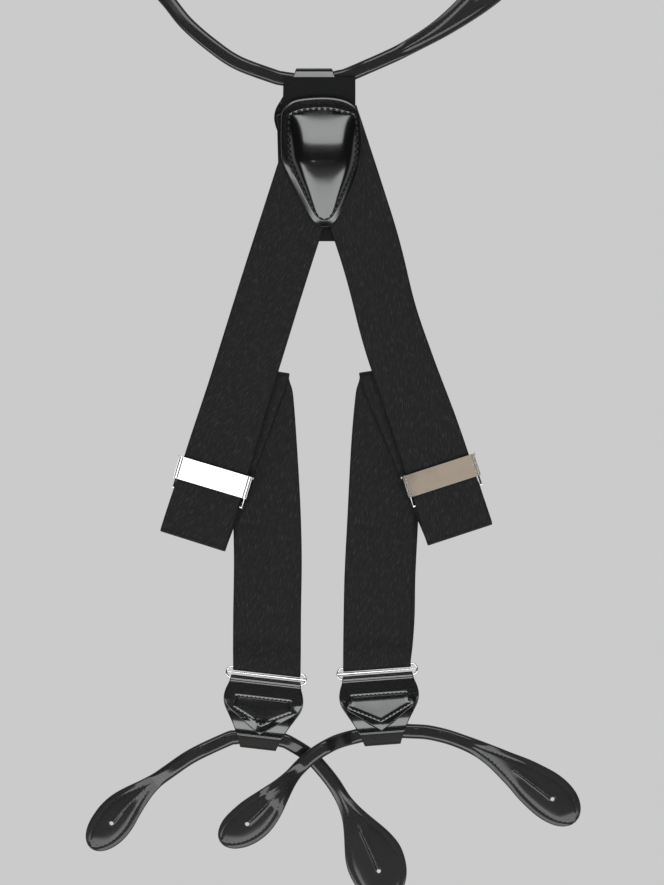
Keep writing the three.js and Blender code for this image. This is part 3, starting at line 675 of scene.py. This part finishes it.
def inset(outline, distance):
    """The same closed clockwise outline, moved inwards. distance may differ from point to point."""
    count = len(outline)
    moved = []
    for i, point in enumerate(outline):
        along = outline[(i + 1) % count] - outline[i - 1]
        inward = Vector((along.y, -along.x, 0)).normalized()
        moved.append(point + inward * (distance[i] if isinstance(distance, list) else distance))
    return moved


def shield_top(y):
    """The level of the rim's upper face, before it rounds or falls away."""
    return SHIELD_BASE + RIM_HEIGHT + LEAN * (y - TIP_Y)


def ridge(points, first, count):
    """Faces that close the last ring of the dome, joining each point to the ones across the ridge."""
    top = max(range(count), key=lambda i: points[first + i].y)
    tip = min(range(count), key=lambda i: points[first + i].y)
    one = [(top + i) % count for i in range((tip - top) % count + 1)]
    other = [(top - i) % count for i in range((top - tip) % count + 1)]
    faces, a, b = [], 0, 0
    while a < len(one) - 1 or b < len(other) - 1:
        ended = b == len(other) - 1
        here = a < len(one) - 1 and (ended or points[first + one[a + 1]].y > points[first + other[b + 1]].y)
        a, b, new = (a + 1, b, one[a + 1]) if here else (a, b + 1, other[b + 1])
        corners = [one[a - 1], new, other[b]] if here else [other[b - 1], one[a], new]
        if len(set(corners)) == 3:
            faces.append(tuple(first + c for c in corners))
    return faces


class Dome:
    """The padded middle of the shield: level from side to side, and falling away to the top and the tip."""

    RISE = 3.7
    CROWN = 134.0  # where along the shield it stands highest
    TO_SIDES, TO_TOP, TO_TIP = 4.6, 1.9, 1.35  # how late it turns down each way

    def __init__(self, foot):
        self.top = max(p.y for p in foot)
        self.tip = min(p.y for p in foot)
        parting = SHIELD_X + PARTING
        self.left = sorted((p.y, p.x) for p in foot if p.x < parting and p.y < self.top)
        self.right = sorted((p.y, p.x) for p in foot if p.x >= parting and p.y < self.top)

    def height(self, p):
        left = np.interp(p.y, *zip(*self.left))
        right = np.interp(p.y, *zip(*self.right))
        aside = min(1.0, abs(2 * p.x - left - right) / max(right - left, 0.1))
        end, roundness = (self.top, self.TO_TOP) if p.y > self.CROWN else (self.tip, self.TO_TIP)
        along = min(1.0, abs(p.y - self.CROWN) / abs(end - self.CROWN))
        return self.RISE * (1 - aside ** self.TO_SIDES) * (1 - along ** roundness)


def side_seam(point):
    """How far the seam lies in from the shield's side: further on the left, less towards the shoulders."""
    if point.x < SHIELD_X:
        return mix(3.4, 3.9, smooth(point.y, 112, 135))
    return mix(3.2, 2.2, smooth(point.y, 112, 135))


RIM_RINGS = [  # how far each ring is from the edge to the seam, and how much its height is rounded off
    (0.0, 0.32), (0.02, 0.12), (0.06, 0.02), (0.2, 0.0), (0.5, 0.0), (0.8, 0.0), (0.9, 0.03), (0.96, 0.16),
    (1.0, 0.2),
]
# how far each ring of the dome is from the seam to the ridge
DOME_RINGS = (0.0, 0.03, 0.07, 0.12, 0.19, 0.27, 0.37, 0.48, 0.6, 0.7, 0.8, 0.89)


def shield_front():
    """The shield's padded leather with the filler under it: a flat rim outside the seam, a dome inside."""
    outline = [p + Vector((SHIELD_X, 0, 0)) for p in closed_curve(SHIELD_EDGE, 240)]
    seam = [mix(mix(3.5, side_seam(p), smooth(p.y, 102, 110)), 6.0, smooth(p.y, 156, 165)) for p in outline]
    # the rim falls away towards the tip and lies nearly level round the shoulders
    drop = [mix(1.35, 0.12, smooth(p.y, 122, 146)) for p in outline]
    top = [shield_top(p.y) for p in outline]
    sections = [[Vector((p.x, p.y, SHIELD_BASE)) for p in inset(outline, 0.35)]]
    for share, rounding in RIM_RINGS:
        ring = inset(outline, [s * share for s in seam])
        sections.append([Vector((p.x, p.y, high - fall * (1 - share) - rounding))
                         for p, high, fall in zip(ring, top, drop)])
    foot = inset(outline, [s + 0.35 for s in seam])
    dome = Dome(foot)
    spine = [Vector((mix(-3.8, -5.6, smooth(p.y, 104, 135)), min(max(p.y, 112), 152), 0)) for p in outline]
    for share in DOME_RINGS:
        ring = [low.lerp(high, share) for low, high in zip(foot, spine)]
        sections.append([Vector((p.x, p.y, shield_top(p.y) - 0.04 + dome.height(p))) for p in ring])
    points, faces = skin(sections)
    last = len(points) - len(foot)
    faces = faces[:-1] + ridge(points, last, len(foot))
    piece = facing_out(new_piece("shield_leather", points, faces, MATERIALS["patent"], sharp=60))
    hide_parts("shield_front", "shield_padding")
    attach(piece, "back")
    path = [Vector((p.x, p.y, top[i] + 0.1)) for i, p in enumerate(inset(outline, seam))]
    stitches("shield_stitching", [*path, path[0]], "back", pitch=2.9, length=1.9, radius=0.56, sink=0.02)


# ---- ear straps ----

EAR = {"width": 7.4, "thick": 3.0, "lining": 0.8, "gap": 0.3, "hole": 1.1, "slit": 0.14, "slit_length": 24}
EAR_HEIGHT = 2.85
SLIDING_RUN = 14
LEAF = {"half": 13.2, "tip": 0.8, "thick": 2.4, "height": 1.2, "roundness": 2.3, "hole_from_tip": 16.5}
EARS = {
    "left": {
        "arc": (-40.2, -205.5, 48.8, 105, 68),
        "before": [(-122.8, -213.9), (-113.6, -203.3), (-105.3, -193.2), (-94.6, -183.6), (-82.8, -174.8),
                   (-70.2, -166.4)],
        "after": [(-12.1, -166.5), (-6.0, -172.6), (0.7, -181.0), (6.3, -190.2), (12.2, -200.4),
                  (19.0, -213.8), (23.7, -225.4), (27.2, -241.8)],
        "leaves": [
            {"share": 0.77, "lift": 2.4, "from": 54, "flat": 76, "growth": 1.05, "widest": 0.64},
            {"share": 1.12, "lift": 0.0, "from": 51, "flat": 72, "growth": 1.3, "widest": 0.64},
        ],
    },
    "right": {
        "arc": (33.7, -238.0, 83.75, 105, 86),
        "before": [(-57.0, -210.6), (-50.6, -206.7), (-42.1, -201.0), (-34.6, -194.0), (-27.6, -185.9),
                   (-21.9, -178.7), (-16.2, -171.9), (-9.2, -165.7), (0.7, -160.0)],
        "after": [(48.2, -154.9), (57.0, -156.7), (65.7, -159.6), (74.4, -163.3), (82.0, -167.5),
                  (88.8, -171.9), (96.2, -176.9), (102.4, -181.6), (109.0, -186.6), (115.6, -192.3),
                  (123.8, -200.6)],
        "leaves": [
            {"share": 0.8, "lift": 8.5, "from": 48, "flat": 72, "growth": 1.05, "widest": 0.64},
            {"share": 0.89, "lift": 2.4, "from": 30, "flat": 78, "growth": 1.75, "widest": 0.76},
        ],
    },
    "rear": {
        "arc": (-12.1, 243.2, 67.5, 255, 288),
        "before": [(-118.6, 250.0), (-108.5, 241.8), (-98.9, 233.2), (-90.8, 224.6), (-83.1, 216.3),
                   (-73.8, 204.8), (-60.6, 193.3), (-47.5, 184.6)],
        "after": [(26.3, 186.5), (37.2, 191.8), (53.4, 201.3), (67.3, 211.6), (80.1, 222.7), (91.3, 233.7),
                  (101.4, 245.6)],
        "leaves": [
            {"share": 0.9, "lift": 2.6, "from": 92, "flat": 114, "growth": 1.05, "widest": 0.64},
            {"share": 0.66, "lift": 2.6, "from": 26, "flat": 100, "growth": 2.0, "widest": 0.8},
        ],
    },
}


def opens_at(leaf):
    """How far from the tab the strap begins to flatten into a leaf."""
    return max(leaf["from"], 46)


class EarRun:
    """An ear strap's curve, with its width, height and thickness at any distance along it."""

    def __init__(self, ear):
        x, y, radius, start, end = ear["arc"]
        self.ear = ear
        turns = 8
        around = [Vector((x, y, 0)) + direction(mix(start, end, i / turns)) * radius
                  for i in range(turns + 1)]
        self.curve = Spline([*ear["before"], *[(p.x, p.y) for p in around], *ear["after"]], 1600)
        middle = Vector((x, y, 0)) + direction((start + end) / 2) * radius
        gaps = [(sample - middle).length for sample in self.curve.samples]
        self.tab = self.curve.runs[gaps.index(min(gaps))]
        self.length = self.curve.length

    def sizes(self, run):
        """Half width, height of the middle, thickness and how far it has opened into the leaf."""
        side = 0 if run < self.tab else 1
        away = abs(run - self.tab)
        whole = self.tab if side == 0 else self.length - self.tab
        leaf = self.ear["leaves"][side]
        opened = smooth(away, opens_at(leaf) - 4, opens_at(leaf) + 16)
        arch = leaf["lift"] * smooth(away, SLIDING_RUN, 30) * (1 - smooth(away, 44, leaf["flat"]))
        rest = mix(EAR_HEIGHT, EAR["thick"] / 2, smooth(away, SLIDING_RUN, 28))
        height = mix(rest, LEAF["height"], opened) + arch
        thick = mix(EAR["thick"], LEAF["thick"], opened)
        return self.half(away, whole, leaf), height, thick, opened

    def half(self, away, whole, leaf):
        strap = EAR["width"] / 2
        if away <= leaf["from"]:
            return strap
        place = (away - leaf["from"]) / (whole - leaf["from"])
        widest = LEAF["half"] * leaf["share"]
        if place < leaf["widest"]:
            return mix(strap, widest, smooth(place, 0, leaf["widest"] * 1.02) ** leaf["growth"])
        towards_tip = (place - leaf["widest"]) / (1 - leaf["widest"])
        return max(LEAF["tip"] * 0.3, widest * math.sqrt(max(0.0, 1 - towards_tip ** LEAF["roundness"])))

    def beside_slit(self, run):
        """1 beside a buttonhole's slit, 0 away from it."""
        from_tip = min(run, self.length - run) - LEAF["hole_from_tip"]
        end = EAR["slit_length"]
        return smooth(from_tip, -1.0, 1.5) * (1 - smooth(from_tip, end - 1, end + 2))

    def runs(self, steps):
        """Places along the strap, closer together towards both tips."""
        shares = [i / steps for i in range(steps + 1)]
        return [mix(share, (1 - math.cos(share * math.pi)) / 2, 0.6) * self.length for share in shares]

    def across(self, run):
        tangent = self.curve.tangent(run)
        return Vector((-tangent.y, tangent.x, 0))


def ear_section(run, ear_run, lining):
    half, height, thick, opened = ear_run.sizes(run)
    middle, side = ear_run.curve.at(run), ear_run.across(run)
    low = height - thick / 2
    if lining:
        base, top, half = low, low + EAR["lining"], half - 0.25
    else:
        base, top = low + EAR["lining"] + EAR["gap"], height + thick / 2
    slit = ear_run.beside_slit(run)
    count = 34
    section = []
    shares = [math.cos(i / count * math.pi) for i in range(count + 1)]
    for share in shares:
        rounded = math.sqrt(max(0.0, 1 - abs(share) ** 5))
        near = (1 - abs(share)) * half
        rim = min(1.0, near / 0.55)
        flat = math.sqrt(max(0.0, 1 - (1 - rim) ** 2))
        level = mix(rounded, flat, 1.0 if lining else smooth(opened, 0.0, 0.6))
        # the leaf is pressed thin along its stitching and is a little fuller inside it
        groove = 0.0 if lining else 0.12 * opened * math.exp(-((near - 3.3) / 0.6) ** 2)
        crown = 0.0 if lining else 0.4 * opened * max(0.0, 1 - share * share) * smooth(half, 4, 10)
        lips = 0.0 if lining else 0.16 * slit * math.exp(-((half * share) / 0.6) ** 2)
        point = middle + side * half * share
        face = mix(base, top, mix(0.3, 1.0, level))
        section.append(Vector((point.x, point.y, face - groove + crown + lips)))
    for share in reversed(shares[1:-1]):
        point = middle + side * half * 0.97 * share
        section.append(Vector((point.x, point.y, base)))
    return section


def buttonhole(ear_run, side):
    """The cutter for one leaf's hole and the slit that runs from it towards the tab."""
    towards = 1 if side == 0 else -1
    start = LEAF["hole_from_tip"] if side == 0 else ear_run.length - LEAF["hole_from_tip"]
    hole, far = ear_run.curve.at(start), ear_run.curve.at(start + towards * EAR["slit_length"])
    along = (far - hole).normalized()
    beside = Vector((-along.y, along.x, 0))
    opening = math.degrees(math.asin(EAR["slit"] / 2 / EAR["hole"]))
    outline = []
    for i in range(21):
        angle = math.radians(mix(opening, 360 - opening, i / 20))
        outline.append(hole + (along * math.cos(angle) + beside * math.sin(angle)) * EAR["hole"])
    outline.append(far - beside * EAR["slit"] / 2)
    outline.append(far + beside * EAR["slit"] / 2)
    points, faces = skin([[Vector((p.x, p.y, level)) for p in outline] for level in (-2, 14)])
    return facing_out(new_piece("cutter", points, faces, MATERIALS["lining"]))


def ear(name):
    ear_run = EarRun(EARS[name])
    body = f"{name}_ear"
    for lining in (False, True):
        sections = [ear_section(run, ear_run, lining) for run in ear_run.runs(240)]
        points, faces = skin(sections)
        label = f"{name}_ear_back" if lining else f"{name}_ear_leather"
        material = MATERIALS["lining" if lining else "strap"]
        piece = facing_out(new_piece(label, points, faces, material, sharp=50))
        if not lining:
            gloss_leaves(piece, ear_run)
        for side in (0, 1):
            cut_by(piece, buttonhole(ear_run, side))
        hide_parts(f"{name}_ear_lining" if lining else f"{name}_ear_strap")
        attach(piece, body)
    for side in (0, 1):
        leaf_stitches(name, ear_run, side, body)


def gloss_leaves(piece, ear_run):
    """Gives the leaves their pressed finish; the strap between them is softer."""
    piece.data.materials.append(MATERIALS["leaf"])
    rows = ear_run.runs(240)
    opened = [ear_run.sizes(run)[3] > 0.5 for run in rows]
    count = len(piece.data.vertices) // len(rows)
    for face in piece.data.polygons:
        if opened[min(face.vertices) // count]:
            face.material_index = 1


def leaf_stitches(name, ear_run, side, body):
    """The row of stitches inside a leaf's rim."""
    start = opens_at(ear_run.ear["leaves"][side]) + 10
    whole = ear_run.tab if side == 0 else ear_run.length - ear_run.tab
    margin = 3.3
    rows = {1: [], -1: []}
    steps = 60
    for i in range(steps + 1):
        away = mix(start, whole - margin - 0.2, math.sin(i / steps * math.pi / 2))
        run = ear_run.tab + (away if side == 1 else -away)
        half, height, thick, _ = ear_run.sizes(run)
        reach = half - margin
        if reach < 0.4:
            continue
        middle, beside = ear_run.curve.at(run), ear_run.across(run)
        for way in (1, -1):
            point = middle + beside * reach * way
            rows[way].append(Vector((point.x, point.y, height + thick / 2 - 0.12)))
    path = [*rows[1], *reversed(rows[-1])]
    label = f"{name}_ear_{'left' if side == 0 else 'right'}_stitching"
    stitches(label, path, body, pitch=2.3, length=1.6, radius=0.26, sink=0.02)


# ---- tabs ----

FLAP_POINT = -29.8
FLAP_SHOULDER = -19.2  # where the flap starts to narrow to its point
NECK_STRIP = -31.3  # below this the neck shows its matte lining side
BODY_WIDTHS = [(-3.5, 17.9), (-8.0, 19.6), (-12.5, 20.3), (-17.0, 19.3), (-22.0, 16.4), (-26.0, 14.0),
               (-30.0, 12.0), (-34.0, 10.2), (-37.4, 9.0)]
FLAP_WIDTHS = [(2.0, 17.4), (-4.0, 18.2), (-8.5, 19.7), (-12.0, 20.1), (-15.5, 19.1), (-19.2, 15.6)]


def width_at(table, y):
    return min(Spline(table, 300).samples, key=lambda p: abs(p.x - y)).y


class TabFrame:
    """A tab's own frame: x along its loop, -y towards its ear strap."""

    def __init__(self, x, y, tilt):
        self.origin = Vector((x, y, 0))
        self.right = direction(tilt)
        self.up = Vector((-self.right.y, self.right.x, 0))

    def place(self, x, y, z=0.0):
        return self.origin + self.right * x + self.up * y + UP * z

    def local(self, point):
        """Where a mesh point lies in this frame, in millimetres."""
        offset = point / MM + CENTRE - self.origin
        return Vector((offset.dot(self.right), offset.dot(self.up), point.z / MM))


def profile_walk(points, spacing=0.8):
    """Even places along a polyline in y and z, with the direction there."""
    places = []
    for (y0, z0), (y1, z1) in zip(points, points[1:]):
        length = math.hypot(y1 - y0, z1 - z0)
        steps = max(1, round(length / spacing))
        places += [(mix(y0, y1, i / steps), mix(z0, z1, i / steps)) for i in range(steps)]
    return [*places, points[-1]]


def rounded(points, radius, steps=5):
    """A polyline in y and z with its corners rounded."""
    result = [points[0]]
    for before, corner, after in zip(points, points[1:], points[2:]):
        b, c, a = Vector(before), Vector(corner), Vector(after)
        reach = min(radius, (b - c).length * 0.48, (a - c).length * 0.48)
        start, end = c + (b - c).normalized() * reach, c + (a - c).normalized() * reach
        for i in range(steps + 1):
            t = i / steps
            p = start * (1 - t) ** 2 + c * 2 * t * (1 - t) + end * t ** 2
            result.append((p.x, p.y))
    return [*result, points[-1]]


def leather_band(name, tab, centreline, half_at, material, thick=LEATHER, across=60):
    places = profile_walk(centreline, 0.4)
    stations = []
    for i, (y, z) in enumerate(places):
        y0, z0 = places[max(i - 1, 0)]
        y1, z1 = places[min(i + 1, len(places) - 1)]
        along = (tab.up * (y1 - y0) + UP * (z1 - z0)).normalized()
        stations.append(Station(tab.place(0, y, z), tab.right, tab.right.cross(along), half_at(y, z)))
    return band(name, stations, thick, material, across, edge=0.5)


def tab_body(name, tab, front, back, top, body, node, neck_slope=0.0, strip=True):
    """A tab's body: one piece of leather that goes round the ear strap and lies back on itself."""
    shift = LEATHER / 2
    neck, mid_high, mid_low = -37.4 + shift, 4.8 + 0.7 * neck_slope, 1.0 - shift
    over = [(top, front + shift), (-20.0, front + shift), (-25.0, front + shift + 0.7),
            (-28.6, mid_high - 0.2 + neck_slope), (neck, mid_high - neck_slope)]
    under = [(neck, mid_low), (-27.1, mid_low), (-23.2, back + shift), (top, back + shift)]

    def half(y, z):
        return width_at(BODY_WIDTHS, y) - (0.25 if z < 2 else 0)

    piece = leather_band(name, tab, rounded([*over, *under], 2.4), half, MATERIALS["patent"])
    if strip:
        neck_strip(piece, tab)
    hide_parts(node)
    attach(piece, body)
    return piece


def neck_strip(piece, tab):
    """The end of a neck shows the matte lining, below a pressed line."""
    piece.data.materials.append(MATERIALS["lining"])
    for face in piece.data.polygons:
        if tab.local(face.center).y < NECK_STRIP:
            face.material_index = 1
    relief(piece, tab, lambda x, y: -0.3 * math.exp(-((y - NECK_STRIP) / 0.35) ** 2), 4.2)


def relief(piece, tab, amount, above):
    """Raises or lowers the points of a tab's piece that are higher than this, by their place on the tab."""
    for vertex in piece.data.vertices:
        if vertex.co.z / MM > above:
            place = tab.local(vertex.co)
            vertex.co.z += amount(place.x, place.y) * MM
    piece.data.update()


def flap_half(y, z):
    if y > FLAP_SHOULDER:
        return width_at(FLAP_WIDTHS, y)
    if z < 2:
        return width_at(FLAP_WIDTHS, FLAP_SHOULDER)
    return max(0.25, 15.6 * (y - FLAP_POINT) / (FLAP_SHOULDER - FLAP_POINT))


# The middle of each flap's front leg in y and z. The left one stays level to its point; the right one rises.
FLAP_FRONT = {
    "left": [(-2.2, 4.1), (-4.3, 4.5), (-22.8, 4.5), (-28.4, 6.05), (FLAP_POINT, 6.1)],
    "right": [(-2.2, 4.1), (-4.3, 4.5), (-13.0, 4.5), (-26.8, 6.95), (FLAP_POINT, 6.95)],
}
PENTAGON = [(-13.8, -11.5), (13.6, -11.5), (15.4, -17.0), (0.2, -24.6), (-15.2, -17.2)]  # the sewn outline


def inside_pentagon(x, y):
    """How far a place is inside the sewn outline; negative outside it."""
    nearest = 1e9
    for (x0, y0), (x1, y1) in sides_of(PENTAGON):
        length = math.hypot(x1 - x0, y1 - y0)
        nearest = min(nearest, ((y1 - y0) * (x - x0) - (x1 - x0) * (y - y0)) / length)
    return nearest


def flap_relief(side):
    """Puffed inside the seam, pressed down along it, and falling away outside its lower edges."""
    puff = {"left": 0.05, "right": 0.0}[side]

    def amount(x, y):
        depth = inside_pentagon(x, y)
        raised = puff * smooth(depth, 0.3, 4.5) - 0.16 * math.exp(-(depth / 0.5) ** 2)
        below = smooth(y, -13.0, -17.0)
        slope = mix(0.17, 0.04, smooth(-x, 0, 4) if side == "left" else 0.0)
        return raised - slope * max(0.0, -depth - 0.4) * below
    return amount


def height_on(profile, y):
    for (y0, z0), (y1, z1) in zip(profile, profile[1:]):
        if y1 <= y <= y0:
            return mix(z0, z1, (y - y0) / (y1 - y0))
    return profile[-1][1]


def tab_flap(name, tab, body, node, side):
    front = FLAP_FRONT[side]
    low, high = 0.525, front[0][1]
    radius = (high - low) / 2
    roll_y = -LOOP["bend"] + LOOP["wire"] + 0.3 + LEATHER / 2 - radius
    turn = [(roll_y + radius * math.cos(a), (low + high) / 2 - radius * math.sin(a))
            for a in (math.radians(d) for d in range(90, -91, -10))]
    centreline = [(-21.5, low), *turn, *rounded([turn[-1], *front[1:]], 1.5)[1:]]
    piece = leather_band(name, tab, centreline, flap_half, MATERIALS["patent"])
    relief(piece, tab, flap_relief(side), 4.3)
    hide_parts(node)
    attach(piece, body)
    path = []
    for (x0, y0), (x1, y1) in sides_of(PENTAGON):
        for i in range(16):
            x, y = mix(x0, x1, i / 16), mix(y0, y1, i / 16)
            path.append(tab.place(x, y, height_on(front, y) + LEATHER / 2 - 0.15))
    stitches(f"{name}_stitching", [*path, path[0]], body, pitch=2.15, length=1.5, radius=0.46, sink=0.02)


def rear_facing(tab):
    """The pointed facing on the rear tab."""
    start, narrows, point, level = -6.4, -13.5, -22.0, 4.725

    def half(y, _):
        if y > narrows:
            return 17.9 + 0.9 * smooth(y, start, -12)
        return max(0.3, 18.3 * (y - point) / (narrows - point))

    centreline = [(start, level), (point, level)]
    piece = leather_band("rear_facing_leather", tab, centreline, half, MATERIALS["patent"])
    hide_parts("rear_tab_facing")
    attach(piece, "back")


# ---- wire and metal ----

def wire(name, path, radius, closed=False, sides=14):
    """A round wire along points in layout millimetres."""
    sections = []
    count = len(path)
    for i, point in enumerate(path):
        before = path[i - 1] if closed or i else path[0]
        after = path[(i + 1) % count] if closed or i < count - 1 else path[-1]
        along = (after - before).normalized()
        across = along.cross(UP)
        across = across.normalized() if across.length > 0.01 else Vector((1, 0, 0))
        over = across.cross(along)
        thick = radius(i / (count - 1)) if callable(radius) else radius
        sections.append([point + (across * math.cos(a) + over * math.sin(a)) * thick
                         for a in [k / sides * 2 * math.pi for k in range(sides)]])
    points, faces = skin(sections, ring=closed)
    return facing_out(new_piece(name, points, faces, MATERIALS["nickel"], sharp=50))


def front_loop(side, tab, body):
    half, bend = LOOP["half"], LOOP["bend"]
    path = []
    for end in (1, -1):
        for i in range(25):
            angle = end * math.pi / 2 - i / 24 * math.pi
            path.append(tab.place(end * half + bend * math.cos(angle), bend * math.sin(angle), LOOP_HEIGHT))
    oval = wire("oval", path, LOOP["wire"], closed=True)
    reach = half + bend
    inner = 1 if side == "left" else -1
    bar = wire("bar", [tab.place(inner * mix(-reach, reach, i / 24), 0, LOOP_HEIGHT) for i in range(25)],
               lambda share: mix(0.35, LOOP["bar"], share))
    piece = joined(f"{side}_loop_wire", [oval, bar])
    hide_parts(f"{side}_loop")
    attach(piece, body)


def metal(node, name, body, width):
    """A finer copy of a metal CAD node, with its edges rolled."""
    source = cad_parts[node]
    piece = bpy.data.objects.new(name, source.data.copy())
    bpy.context.scene.collection.objects.link(piece)
    only_material(piece, "nickel")
    mesh = bmesh.new()
    mesh.from_mesh(piece.data)
    bmesh.ops.remove_doubles(mesh, verts=mesh.verts, dist=1e-6)
    bmesh.ops.dissolve_limit(mesh, angle_limit=math.radians(1), verts=mesh.verts, edges=mesh.edges)
    mesh.to_mesh(piece.data)
    mesh.free()
    step = piece.modifiers.new("edges", "BEVEL")
    step.width = width * MM
    step.segments = 2
    step.limit_method = "ANGLE"
    step.angle_limit = math.radians(40)
    step.harden_normals = False
    applied(piece)
    piece.data.shade_smooth()
    piece.data.set_sharp_from_angle(angle=math.radians(50))
    flat = piece.modifiers.new("flat faces", "WEIGHTED_NORMAL")
    flat.keep_sharp = True
    flat.weight = 100
    applied(piece)
    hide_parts(node)
    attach(piece, body)


def adjuster(side):
    body = f"{side}_adjuster"
    metal(f"{side}_adjuster_frame", f"{side}_clamp_frame", body, 0.1)
    metal(f"{side}_adjuster_lever", f"{side}_clamp_lever", f"{side}_lever", 0.1)
    for place in ("inner", "outer"):
        metal(f"{side}_adjuster_pin_{place}", f"{side}_rivet_{place}", body, 0.12)
    only_material(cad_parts[f"{side}_strap_tail"], "webbing")


# ---- floor, light and camera ----

FRAME_HEIGHT = 448.7
CAMERA_HEIGHT = 1500.0
FRAME_MIDDLE = (0.0, -7.86)  # where the camera looks, in layout coordinates
BACKDROP = 0.597  # how brightly the even grey ground glows

# Each panel is a soft-edged patch of the room, by where it lies in the unit direction towards it: along the
# layout it starts, is full, begins to fade and is gone; sideways it reaches and fades; and its strength.
HEAD_PANEL = (0.22, 0.27, 0.46, 0.54, 0.2, 0.32, 4.0)
FOOT_PANEL = (0.165, 0.215, 0.46, 0.56, 0.52, 0.66, 3.8)
# Two small cards that the clamps' plates reflect upwards: a white one on the left, a dim warm one right.
CARD = {"middle": -0.012, "tall": (0.022, 0.032), "inner": (0.018, 0.028), "outer": (0.06, 0.075)}
WHITE_CARD, WARM_CARD = 2.2, 0.4
WHITE, WARM = (0.985, 1.0, 1.005), (1.0, 0.86, 0.72)
LOW_GLOW = 0.6  # all round the room, near the ground
AMBIENT = 0.02


def floor():
    """An even, glowing floor, so no shadow falls on it."""
    mesh = bpy.data.meshes.new("floor")
    reach, level = 3.0, -0.0003
    corners = [(-reach, -reach), (reach, -reach), (reach, reach), (-reach, reach)]
    mesh.from_pydata([(x, y, level) for x, y in corners], [], [(0, 1, 2, 3)])
    piece = bpy.data.objects.new("floor", mesh)
    bpy.context.scene.collection.objects.link(piece)
    material = bpy.data.materials.new("pale floor")
    material.use_nodes = True
    tree = material.node_tree
    tree.nodes.clear()
    out = tree.nodes.new("ShaderNodeOutputMaterial")
    glow = tree.nodes.new("ShaderNodeEmission")
    glow.inputs["Color"].default_value = (1, 1, 1, 1)
    glow.inputs["Strength"].default_value = BACKDROP
    tree.links.new(glow.outputs[0], out.inputs["Surface"])
    piece.data.materials.append(material)


def panel(n, value, sideways, start, full, until, gone, reach, fade, power):
    rise = n.band(value, start, full)
    fall = n.band(value, until, gone, 1.0, 0.0)
    wide = n.band(sideways, reach, fade, 1.0, 0.0)
    return n.math("MULTIPLY", n.math("MULTIPLY", n.math("MULTIPLY", rise, fall), wide), power)


def card(n, x, y, sideways, way):
    """A small card on the side that way points to, 1 for the right and -1 for the left."""
    inner, outer = CARD["inner"]
    tall = n.band(n.math("ABSOLUTE", n.math("SUBTRACT", y, CARD["middle"])), *CARD["tall"], 1.0, 0.0)
    near = n.band(sideways, *CARD["outer"], 1.0, 0.0)
    return n.math("MULTIPLY", n.math("MULTIPLY", n.band(x, way * inner, way * outer), tall), near)


def studio():
    """A dark room with a soft panel towards the head and the foot, a low glow all round and two cards."""
    world = bpy.data.worlds.new("studio")
    bpy.context.scene.world = world
    world.use_nodes = True
    world.node_tree.nodes.clear()
    n = Nodes(world.node_tree)
    parts = n.add("ShaderNodeSeparateXYZ")
    n.link(n.add("ShaderNodeTexCoord").outputs["Generated"], parts.inputs[0])
    x, y, z = parts.outputs
    sideways = n.math("ABSOLUTE", x)
    head = panel(n, y, sideways, *HEAD_PANEL)
    foot = panel(n, n.math("MULTIPLY", y, -1.0), sideways, *FOOT_PANEL)
    white, warm = card(n, x, y, sideways, -1), card(n, x, y, sideways, 1)
    low = n.math("MULTIPLY", n.band(z, 0.05, 0.2), n.band(z, 0.4, 0.52, 1.0, 0.0))
    total = n.math("ADD", n.math("ADD", head, foot), n.math("MULTIPLY", white, WHITE_CARD))
    total = n.math("ADD", total, n.math("MULTIPLY", warm, WARM_CARD))
    total = n.math("ADD", n.math("MULTIPLY", total, n.band(z, 0.0, 0.15)), n.math("MULTIPLY", low, LOW_GLOW))
    light = n.add("ShaderNodeBackground")
    n.link(n.math("ADD", total, AMBIENT), light.inputs["Strength"])
    n.colours(warm, WHITE, WARM, light.inputs["Color"])
    ground = n.add("ShaderNodeBackground")
    ground.inputs["Color"].default_value = (BACKDROP, BACKDROP, BACKDROP, 1)
    mixer = n.add("ShaderNodeMixShader")
    n.link(n.add("ShaderNodeLightPath").outputs["Is Camera Ray"], mixer.inputs[0])
    n.link(light.outputs[0], mixer.inputs[1])
    n.link(ground.outputs[0], mixer.inputs[2])
    n.link(mixer.outputs[0], n.add("ShaderNodeOutputWorld").inputs["Surface"])


def camera():
    data = bpy.data.cameras.new("camera")
    data.sensor_width = 36
    data.lens = 36 * (CAMERA_HEIGHT - 5) / FRAME_HEIGHT
    data.clip_end = 20
    piece = bpy.data.objects.new("camera", data)
    bpy.context.scene.collection.objects.link(piece)
    piece.location = (Vector((*FRAME_MIDDLE, CAMERA_HEIGHT)) - Vector((CENTRE.x, CENTRE.y, 0))) * MM
    bpy.context.scene.camera = piece


# ---- the whole scene ----

bpy.context.scene.view_settings.view_transform = "Standard"
camera()
floor()
studio()
LENGTHS = {side: webbing(side) for side in ("left", "right")}
LENGTHS["elastic"] = elastic()
shield_front()
only_material(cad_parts["shield_lining"], "lining")
for name in EARS:
    ear(name)
for side in ("left", "right"):
    tab = TabFrame(*STRAPS[side]["loop"])
    tab_body(f"{side}_tab_leather", tab, 2.5, 1.3, -7.8, f"{side}_front_tab", f"{side}_tab")
    tab_flap(f"{side}_flap_leather", tab, f"{side}_front_tab", f"{side}_tab_flap", side)
    front_loop(side, tab, f"{side}_ring")
    adjuster(side)
rear = TabFrame(-9.1, 144.8, 180)
tab_body("rear_tab_leather", rear, 2.95, 0.05, -6.0, "back", "rear_tab", neck_slope=0.45, strip=False)
rear_facing(rear)
print("band lengths in mm:", {key: round(value, 1) for key, value in LENGTHS.items()})
